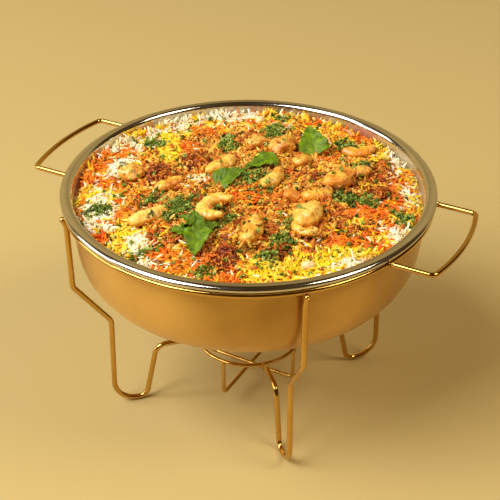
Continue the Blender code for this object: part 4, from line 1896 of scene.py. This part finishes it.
@dataclass
class FriedOnion:
    """Crisp fried onion: dark curled strips, tangled over the clumps and lying between them."""

    heap: HeapField
    brown: Grid  # how much of the rice is amber or russet
    strips: int = 1250
    shreds: int = 1000
    length: float = 12 * MM
    width: float = 2.7 * MM
    flatness: float = 0.34
    core_inset: float = 1.8 * MM
    patches: tuple[Patch, ...] = ovals(
        (-88, 30, 20, 22, 1.2), (-53, 54, 12, 20, 1), (-97, 70, 12, 8, 1), (-17, 77, 8, 12, 1.2),
        (-15, 52, 10, 12, 0.8), (-27, -102, 11, 13, 1.6), (22, -73, 9, 14, 4), (26, 106, 12, 9, 0.8),
        (-22, 72, 9, 9, 2.5), (60, 21, 15, 14, 1), (120, 10, 22, 16, 1.2), (97, -17, 9, 10, 0.8),
        (-84, -82, 11, 9, 0.9), (40, -112, 14, 12, 0.5), (44, 110, 13, 11, 2.2),
    )

    def _strip(self, chance: random.Random, steps: int = 8) -> Shape:
        """One curled strip.

        Args:
            chance: its random source.
            steps: how many steps it is bent in.

        Returns:
            The strip.
        """
        curl = chance.uniform(120, 330)
        rise = chance.uniform(-2.0, 3.0) * MM
        length = self.length * chance.uniform(0.6, 1.15)
        heading, spot = 0.0, Vector()
        points = [spot.copy()]
        for i in range(steps):
            heading += math.radians(curl) / steps * chance.uniform(0.5, 1.5)
            lift = rise * math.sin(math.pi * i / steps) * chance.uniform(0.6, 1.4)
            spot = spot + Vector((math.cos(heading), math.sin(heading), 0)) * length / steps
            points.append(spot + Vector((0, 0, lift)))
        middle = sum(points, Vector()) / len(points)
        points = [p - middle for p in points]
        widths = [0.5 * self.width * chance.uniform(0.7, 1.2) for _ in points[1:-1]]
        return tube_shape(points, widths, self.flatness, 4)

    def _clump_cores(self, material: Material) -> Mesh:
        """The hearts of the clumps, drawn in under the strips in the onion's own dark tint, as painted
        shade.

        Args:
            material: their finish.

        Returns:
            The hearts, as one mesh.
        """
        mesh = remeshed(nodes_named("onion_clump_"), 1.1 * MM, 2)
        moved = np.empty((len(mesh.vertices), 3))
        for i, vert in enumerate(mesh.vertices):
            rough = noise.noise(vert.co / (2.6 * MM))
            moved[i] = vert.co + vert.normal * (1.6 * MM * rough - self.core_inset)
            moved[i, 2] -= 7.0 * MM if self.heap.slumped(vert.co.x, vert.co.y) else 0.0
        # the onion's own dark tint, which stands in for the shade deep inside the tangle
        rework(mesh, moved, np.full(len(moved), 0.1), material)
        return mesh

    def build(self) -> None:
        """Makes the tangle over the clumps as one piece, then the shreds."""
        material = FoodFinish(
            "crisp fried onion",
            tints=((0.16, 0.018, 0.003), (0.46, 0.085, 0.005), (0.74, 0.27, 0.02), (0.34, 0.035, 0.004)),
            patch_tint=(0.13, 0.022, 0.009), patches=(6 * MM, 0.3), rough=(0.42, 0.24),
            lumps=(1.2 * MM, 0.12 * MM), coat=0.05, gloss=0.35,
        ).material()
        chance = random.Random(17)
        strips = [self._strip(chance) for _ in range(9)]
        clumps = search_tree(nodes_named("onion_clump_"))
        on_clump = np.zeros_like(self.heap.x)
        for i, j in np.ndindex(on_clump.shape):
            on_clump[i, j] = height_under(clumps, self.heap.x[i, j], self.heap.y[i, j]) is not None
        loose = self.heap.patches(self.patches) * self.heap.clumps(9 * MM, 2.2, 2.0) + 0.02
        loose *= 1 - np.clip(self.heap.covered - on_clump, 0, 1)
        front = np.where(self.heap.slumped(self.heap.x, self.heap.y), 0.6, 1.6)
        weight = front * on_clump + 0.75 * loose
        strewing = Strewing(
            count=self.strips, tilt=38, roll=40, lift=(-1.6 * MM, 1.2 * MM), scale=(0.6, 1.1), seed=5,
        )
        sheet = self.heap.sheet(self.heap.skin, weight, 8 * MM)
        whole = joined([strewing.run(sheet, strips, material), self._clump_cores(material)])
        add_piece("onion_tangle", whole, "fried_onion", nodes_named("onion_clump_"))
        self._strew_shreds(on_clump)

    def _strew_shreds(self, on_clump: Grid) -> None:
        """Makes the paler, thinner shreds that lie all over the middle.

        Args:
            on_clump: where the clumps lie.
        """
        material = FoodFinish(
            "golden onion shred",
            tints=((0.84, 0.44, 0.04), (0.74, 0.27, 0.02), (0.5, 0.13, 0.012), (0.88, 0.56, 0.1)),
            patch_tint=(0.42, 0.1, 0.01), patches=(5 * MM, 0.35), rough=(0.42, 0.26),
            lumps=(1.2 * MM, 0.1 * MM), gloss=0.3,
        ).material()
        chance = random.Random(19)
        thin = FriedOnion(self.heap, self.brown, length=8 * MM, width=2.1 * MM)
        shreds = [thin._strip(chance, 6) for _ in range(8)]
        reach = self.heap.reach / MM
        weight = (0.05 + np.exp(-((reach / 118) ** 5))) * (1 - 0.7 * on_clump) * (0.08 + self.brown)
        weight *= self.heap.clumps(12 * MM, 6.6, 2.0)
        weight *= 1 - 0.92 * self.heap.covered
        strewing = Strewing(
            count=self.shreds, tilt=40, roll=60, lift=(-1.2 * MM, 1.4 * MM), scale=(0.6, 1.2), seed=6,
        )
        sheet = self.heap.sheet(self.heap.skin, weight, 8 * MM)
        add_piece("onion_shreds", strewing.run(sheet, shreds, material), "fried_onion")


@dataclass
class ChoppedHerb:
    """Chopped green herb, strewn thick in places and thin everywhere."""

    heap: HeapField
    bits: int = 2200
    size: float = 4.0 * MM
    thickness: float = 0.35 * MM
    patches: tuple[Patch, ...] = ovals(
        (0, 11, 14, 13, 3), (-61, -46, 14, 14, 2), (-91, -25, 10, 7, 2), (-140, -41, 10, 8, 2.2),
        (-93, -112, 8, 6, 0.7), (-103, -120, 8, 7, 2), (-40, -144, 8, 7, 2.2), (-22, -66, 8, 8, 1.8),
        (91, -27, 11, 11, 2.4), (113, -28, 8, 9, 2.4), (149, -57, 10, 9, 3), (99, 84, 9, 12, 2.4),
        (26, 112, 10, 17, 2), (35, 153, 8, 11, 2), (81, 147, 8, 8, 2), (113, 37, 8, 9, 2),
        (16, -118, 9, 7, 1.8), (-97, 87, 12, 8, 1.4), (-22, 84, 9, 16, 1.8), (30, -98, 10, 10, 2),
        (40, -70, 8, 8, 1.6), (-66, -38, 8, 8, 1.6), (-74, -60, 9, 7, 1.8), (15, -15, 12, 8, 0.5),
    )

    def _blade(self, shape: Shape, chance: random.Random, turn: Matrix) -> None:
        """Adds one torn blade: an uneven lobed outline, cupped and turned.

        Args:
            shape: the scrap that the blade becomes part of.
            chance: the seeded source of its unevenness.
            turn: how the blade is turned.
        """
        corners = 9
        cup = chance.uniform(0.2, 0.8)
        stretch = chance.uniform(1.0, 1.7)
        phase = chance.uniform(0, 6)
        rims = []
        for lift in (0.0, self.thickness):
            middle = shape.verts.new(turn @ Vector((0, 0, lift)))
            rim = []
            for i in range(corners):
                way = 2 * math.pi * i / corners
                reach = 0.5 * self.size * (1.0 if i % 2 else 0.6) * (1 + 0.25 * math.sin(3 * way + phase))
                x, y = stretch * reach * math.cos(way), reach * math.sin(way)
                rim.append(shape.verts.new(turn @ Vector((x, y, lift + cup * abs(y) + 0.12 * cup * x))))
            rims.append((middle, rim))
        for middle, rim in rims:
            for i in range(corners):
                shape.faces.new((middle, rim[i], rim[(i + 1) % corners]))
        under, over = rims[0][1], rims[1][1]
        for i in range(corners):
            j = (i + 1) % corners
            shape.faces.new((under[i], under[j], over[j], over[i]))

    def _bit(self, chance: random.Random) -> Shape:
        """A curly scrap: two small blades that stand at an angle to each other.

        Args:
            chance: its random source.

        Returns:
            The scrap.
        """
        shape = bmesh.new()
        self._blade(shape, chance, Matrix())
        lean = Matrix.Rotation(chance.uniform(0.7, 1.4), 4, "X")
        lean @= Matrix.Rotation(chance.uniform(0, 3), 4, "Z")
        away = Vector((chance.uniform(-0.3, 0.3), chance.uniform(0.2, 0.4), 0.35)) * self.size
        self._blade(shape, chance, Matrix.Translation(away) @ lean @ Matrix.Scale(0.8, 4))
        bmesh.ops.recalc_face_normals(shape, faces=shape.faces)
        return shape

    def build(self) -> None:
        """Makes all the herb as one piece."""
        material = FoodFinish(
            "chopped herb",
            tints=((0.03, 0.055, 0.004), (0.1, 0.16, 0.008), (0.22, 0.32, 0.025), (0.46, 0.56, 0.13)),
            patch_tint=(0.03, 0.05, 0.004), patches=(5 * MM, 0.25), gloss=0.3, rough=(0.45, 0.3),
            lumps=(1.0 * MM, 0.1 * MM), soft=0.05,
        ).material()
        chance = random.Random(23)
        scraps = [self._bit(chance) for _ in range(7)]
        weight = self.heap.patches(self.patches) * self.heap.clumps(7 * MM, 8.1, 1.8) + 0.045
        weight *= 1 - 0.45 * self.heap.covered
        strewing = Strewing(
            count=self.bits, tilt=50, roll=45, lift=(0.2 * MM, 2.0 * MM), scale=(0.5, 1.3), seed=9,
        )
        sheet = self.heap.sheet(self.heap.skin, weight, 5 * MM)
        add_piece("chopped_herb", strewing.run(sheet, scraps, material), "mint")


@dataclass
class Crumbs:
    """Small golden crumbs of batter and onion between the grains."""

    heap: HeapField
    brown: Grid  # how much of the rice is amber or russet
    count: int = 2500
    size: float = 3.1 * MM
    sizes: tuple[float, ...] = (0.6, 0.9, 1.1, 0.8, 1.4, 1.0, 1.9, 1.5)
    corners: int = 20

    def _crumb(self, chance: random.Random, size: float) -> Shape:
        """One crumb: a rough pebble.

        Args:
            chance: its random source.
            size: its size, as a share of the plain one.

        Returns:
            The crumb.
        """
        shape = bmesh.new()
        stretch = [size * chance.uniform(*span) for span in ((1.0, 2.3), (0.6, 1.0), (0.4, 0.8))]
        for _ in range(self.corners):
            way = Vector(chance.gauss(0, 1) for _ in range(3)).normalized()
            reach = 0.5 * self.size * chance.uniform(0.75, 1.15)
            shape.verts.new(Vector(w * s * reach for w, s in zip(way, stretch)))
        bmesh.ops.convex_hull(shape, input=shape.verts)
        loose = [vert for vert in shape.verts if not vert.link_faces]
        bmesh.ops.delete(shape, geom=loose, context="VERTS")
        return shape

    def build(self) -> None:
        """Makes all the crumbs as one piece."""
        material = FoodFinish(
            "golden crumb",
            tints=(
                (0.92, 0.68, 0.16), (0.86, 0.42, 0.03), (0.5, 0.07, 0.006), (0.88, 0.56, 0.06),
                (0.26, 0.03, 0.005), (0.78, 0.25, 0.012),
            ),
            patch_tint=(0.45, 0.12, 0.02), patches=(3 * MM, 0.35), rough=(0.5, 0.35),
            lumps=(0.9 * MM, 0.15 * MM), gloss=0.3,
        ).material()
        chance = random.Random(29)
        crumbs = [self._crumb(chance, size) for size in self.sizes]
        reach = self.heap.reach / MM
        weight = (0.05 + np.exp(-((reach / 120) ** 4))) * (0.04 + self.brown)
        weight *= self.heap.clumps(10 * MM, 3.3, 2.0)
        weight *= 1 - 0.92 * self.heap.covered
        strewing = Strewing(
            count=self.count, tilt=60, roll=180, lift=(-0.4 * MM, 1.4 * MM), scale=(0.7, 1.25), seed=13,
        )
        sheet = self.heap.sheet(self.heap.skin, weight, 10 * MM)
        add_piece("golden_crumbs", strewing.run(sheet, crumbs, material), "fried_chunk")


LEAF_POSES: dict[str, tuple[Pose, ...]] = {
    "mint_leaf_1": (Pose(face=4, grow=1.08, shift=(-6, 3, 0)),),
    "mint_leaf_2": (Pose(face=20, grow=1.08, shift=(3, -7, -1)),),
    "mint_leaf_3": (Pose(face=10, grow=1.05, shift=(1, -4, 0.5)),),
    "mint_leaf_4": (Pose(face=8, grow=0.9, shift=(-2, -11, 0)), Pose(20, 60, 0.7, (-9, -15, 2))),
    "mint_leaf_5": (Pose(face=12, grow=1.1), Pose(-22, 200, 0.7, (9, 5, 4))),
    "mint_leaf_6": (Pose(face=14, grow=1.08, shift=(-3, 0, 0)), Pose(24, 150, 0.55, (1, 12, 5))),
    "mint_leaf_7": (Pose(face=14, grow=1.1, shift=(-8, 0, 0)), Pose(30, -60, 0.7, (-14, -4, 4))),
}


@dataclass
class MintLeaves:
    """Fresh mint leaves: toothed blades with sunken veins, laid as the frame lays them."""

    rows: int = 60
    columns: int = 22
    thickness: float = 0.45 * MM
    tooth: float = 0.055  # depth of a tooth as a share of the half width
    teeth: int = 13
    vein_pairs: int = 7
    vein_depth: float = 0.45 * MM
    quilt: float = 0.35 * MM
    ruffle: float = 1.0 * MM
    widest: float = 0.18  # share of the way from stem to tip
    taper: float = 1.25  # 1 for straight sides, more for fuller ones
    tip_lift: float = 0.085  # how much of its length the tip is raised over the solid's

    def _axes(self, name: str) -> tuple[Vector, Vector, Vector, Vector, float, float]:
        """Reads how a leaf lies from its solid.

        Args:
            name: the frame's node.

        Returns:
            Its middle, its axes from stem to tip, across and up, its length and its width.
        """
        shape = merged_copy([name])
        spots = np.array([v.co for v in shape.verts])
        shape.free()
        middle = spots.mean(0)
        _, turns = np.linalg.eigh(np.cov((spots - middle).T))
        along, across, up = turns[:, 2], turns[:, 1], turns[:, 0]
        if up[2] < 0:
            up = -up
        reach = (spots - middle) @ along
        middle = middle + along * 0.5 * (reach.max() + reach.min())
        reach = (spots - middle) @ along
        side = (spots - middle) @ across
        # the blade is widest on its stem's side
        if (side**2 * reach).sum() > 0:
            along = -along
        across = np.cross(up, along)
        return *map(Vector, (middle, along, across, up)), float(np.ptp(reach)), float(np.ptp(side))

    def _outline(self, u: float) -> float:
        """Half width of the blade, toothed at its edge.

        Args:
            u: the share of the way from stem to tip.

        Returns:
            The half width.
        """
        stalk = 0.04
        if u < stalk:
            return 0.06
        share = (u - stalk) / (1 - stalk)
        if share < self.widest:
            plain = math.sqrt(1 - (1 - share / self.widest) ** 2)
        else:
            plain = 1 - ((share - self.widest) / (1 - self.widest)) ** self.taper
        saw = 1 - (share * self.teeth) % 1
        return max(plain * (1 - self.tooth * saw * 1.4), 0.02)

    def _blade(self, name: str, number: int) -> Mesh:
        """One leaf, following the top of its solid.

        Args:
            name: the solid's name.
            number: which leaf it is.

        Returns:
            The leaf.
        """
        middle, along, across, up, length, width = self._axes(name)
        tree = search_tree([name])
        heights, relief = np.zeros((2, self.rows + 1, self.columns + 1))
        flat = np.zeros((*heights.shape, 2))
        for i, j in np.ndindex(heights.shape):
            u, v = i / self.rows, 2 * j / self.columns - 1
            x, y = flat[i, j] = (u - 0.5) * length, v * 0.5 * width * self._outline(u)
            probe = middle + along * (0.95 * x) + across * (0.9 * y)
            hit = tree.ray_cast(probe + up * 0.1, -up)[0]
            heights[i, j] = (hit - middle).dot(up) if hit else np.nan
        known = ~np.isnan(heights)
        heights[~known] = heights[known].mean()
        for _ in range(14):
            inner = heights[1:-1, 1:-1]
            around = heights[:-2, 1:-1] + heights[2:, 1:-1] + heights[1:-1, :-2] + heights[1:-1, 2:]
            heights[1:-1, 1:-1] = 0.4 * inner + 0.15 * around
        for i, j in np.ndindex(heights.shape):
            y = flat[i, j, 1]
            u, v = i / self.rows, 2 * j / self.columns - 1
            side_phase = (u - 0.3 * abs(v) * (1 - 0.3 * u)) * self.vein_pairs + 0.35
            side_vein = math.exp(-((((side_phase + 0.5) % 1) - 0.5) / 0.1) ** 2) * (1 - abs(v)) ** 0.3
            mid_vein = math.exp(-((y / (0.55 * MM)) ** 2))
            swell = abs(math.sin(math.pi * side_phase)) * (1 - mid_vein)
            relief[i, j] = self.quilt * swell - self.vein_depth * max(mid_vein, 0.75 * side_vein)
            relief[i, j] += self.tip_lift * length * max(2 * u - 1, 0.0) ** 2
            phase = number + (2.0 if v > 0 else 0.0)
            relief[i, j] += self.ruffle * v * v * math.sin(7.1 * math.pi * u + phase)
        shape = bmesh.new()
        shade_layer = shape.verts.layers.float.new("shade")
        top, under = {}, {}
        for layer, drop in ((top, 0.0), (under, self.thickness)):
            for i, j in np.ndindex(heights.shape):
                x, y = flat[i, j]
                z = heights[i, j] + relief[i, j] - drop
                layer[i, j] = shape.verts.new(middle + along * x + across * y + up * z)
                # each leaf's own tone, and the underside painted darker as shade
                layer[i, j][shade_layer] = 0.12 * (number % 4) + (0.25 if drop else 0.0)
        for layer in (top, under):
            for i, j in np.ndindex(self.rows, self.columns):
                shape.faces.new((layer[i, j], layer[i + 1, j], layer[i + 1, j + 1], layer[i, j + 1]))
        border = [(i, 0) for i in range(self.rows + 1)]
        border += [(self.rows, j) for j in range(1, self.columns + 1)]
        border += [(i, self.columns) for i in range(self.rows - 1, -1, -1)]
        border += [(0, j) for j in range(self.columns - 1, 0, -1)]
        for spot, following in zip(border, border[1:] + border[:1]):
            shape.faces.new((top[spot], top[following], under[following], under[spot]))
        bmesh.ops.recalc_face_normals(shape, faces=shape.faces)
        return shape_to_mesh(shape)

    def build(self) -> None:
        """Makes every leaf as a piece of its own."""
        material = LeafFinish(
            "fresh mint", blade=(0.205, 0.34, 0.003), shaded_blade=(0.065, 0.125, 0.003), roughness=0.48,
        ).material()
        for number, name in enumerate(nodes_named("mint_leaf_")):
            plain = self._blade(name, number)
            plain.materials.append(material)
            meshes = [plain.copy() for _ in LEAF_POSES[name]]
            for mesh, pose in zip(meshes, LEAF_POSES[name]):
                mesh.transform(pose.matrix(node_middle(name)))
            add_piece(f"fresh_{name}", joined(meshes), "mint", [name])


# -------- studio


@dataclass(frozen=True)
class SoftLight:
    """A square soft light that looks at the dish."""

    name: str
    place: tuple[float, float, float]
    size: float
    power: float
    colour: Colour


@dataclass
class Studio:
    """The pale floor, the soft lights and the camera."""

    aim: Vector = field(default_factory=lambda: Vector((1.4 * MM, 0.0, 164.7 * MM)))
    distance: float = 1.137
    pitch: float = math.radians(33.3)
    lens: float = 82.1
    backdrop: Colour = (0.6, 0.42, 0.15)
    dark_side: Colour = (0.085, 0.048, 0.016)
    floor_tint: Colour = (0.535, 0.402, 0.154)
    floor_half: float = 6.0
    lights: tuple[SoftLight, ...] = (
        SoftLight("left", (-2.5, -1.1, 3.3), 2.7, 232.0, (1.0, 0.985, 0.96)),
        SoftLight("right", (2.5, -0.9, 3.4), 1.6, 74.0, (1.0, 0.86, 0.66)),
        SoftLight("side", (-2.7, 0.1, 0.9), 1.5, 22.0, (1.0, 0.97, 0.92)),
    )

    def _floor(self) -> None:
        """A plain pale floor."""
        material, tree, shader = Finish("pale floor").start()
        fill(tree, shader, Base_Color=self.floor_tint, Roughness=0.6)
        mesh = bpy.data.meshes.new("floor")
        far = self.floor_half
        corners = [(-far, -far, 0), (far, -far, 0), (far, far, 0), (-far, far, 0)]
        mesh.from_pydata(corners, [], [(0, 1, 2, 3)])
        mesh.materials.append(material)
        new_object("floor", mesh)

    def _world(self) -> None:
        """Surroundings that the metal mirrors: a tan backdrop behind and a dark room elsewhere."""
        world = bpy.data.worlds.new("studio")
        bpy.context.scene.world = world
        world.use_nodes = True
        tree = world.node_tree
        place = add_node(tree, "ShaderNodeTexCoord").outputs["Generated"]
        x, y, _ = add_node(tree, "ShaderNodeSeparateXYZ", place).outputs
        behind = map_range(tree, y, From_Min=0.4, From_Max=0.62, interpolation_type="SMOOTHSTEP")
        shell = mix_colour(tree, behind, self.dark_side, self.backdrop)
        aside = map_range(tree, math_node(tree, "ABSOLUTE", x), From_Max=0.22, To_Min=0.62)
        level = math_node(tree, "MULTIPLY", math_node(tree, "MULTIPLY_ADD", x, -0.2, 1.0), aside)
        bright = add_node(tree, "ShaderNodeHueSaturation", Color=shell, Value=level)
        fill(tree, tree.nodes["Background"], Color=bright.outputs[0], Strength=1.0)

    def _place(self, data: bpy.types.ID, spot: Vector) -> bpy.types.Object:
        """Puts a light or a camera at a spot, turned towards the dish.

        Args:
            data: the light or camera.
            spot: where it goes.

        Returns:
            Its object.
        """
        item = bpy.data.objects.new(data.name, data)
        item.location = spot
        item.rotation_euler = (self.aim - item.location).to_track_quat("-Z", "Y").to_euler()
        bpy.context.scene.collection.objects.link(item)
        return item

    def build(self) -> None:
        """Sets everything up and makes the camera the scene's own."""
        self._floor()
        self._world()
        for light in self.lights:
            lamp = bpy.data.lights.new(light.name, "AREA")
            lamp.size, lamp.energy, lamp.color = light.size, light.power, light.colour
            self._place(lamp, light.place)
        camera = bpy.data.cameras.new("camera")
        camera.lens = self.lens
        camera.sensor_width = 36.0
        back = Vector((0, -math.cos(self.pitch), math.sin(self.pitch)))
        bpy.context.scene.camera = self._place(camera, self.aim + self.distance * back)
        bpy.context.scene.view_settings.view_transform = "Standard"


# -------- all of it


def main() -> None:
    """Builds the studio, the dish and everything in it."""
    logging.basicConfig(level=logging.INFO, format="%(name)s: %(message)s")
    Studio().build()
    _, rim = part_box("bowl")
    bowl = Bowl(rim_radius=rim.x, rim_top=rim.z)
    bowl.build()
    WireStand(bowl).build()
    heap = HeapField(bowl.radius - bowl.wall)
    rice = RiceHeap(heap, bowl)
    rice.share_out()
    rice.build_core()
    rice.build_grains()
    Morsels().build()
    Nuts().build()
    FriedOnion(heap, rice.brown).build()
    ChoppedHerb(heap).build()
    Crumbs(heap, rice.brown).build()
    MintLeaves().build()


if __name__ == "__main__":
    main()
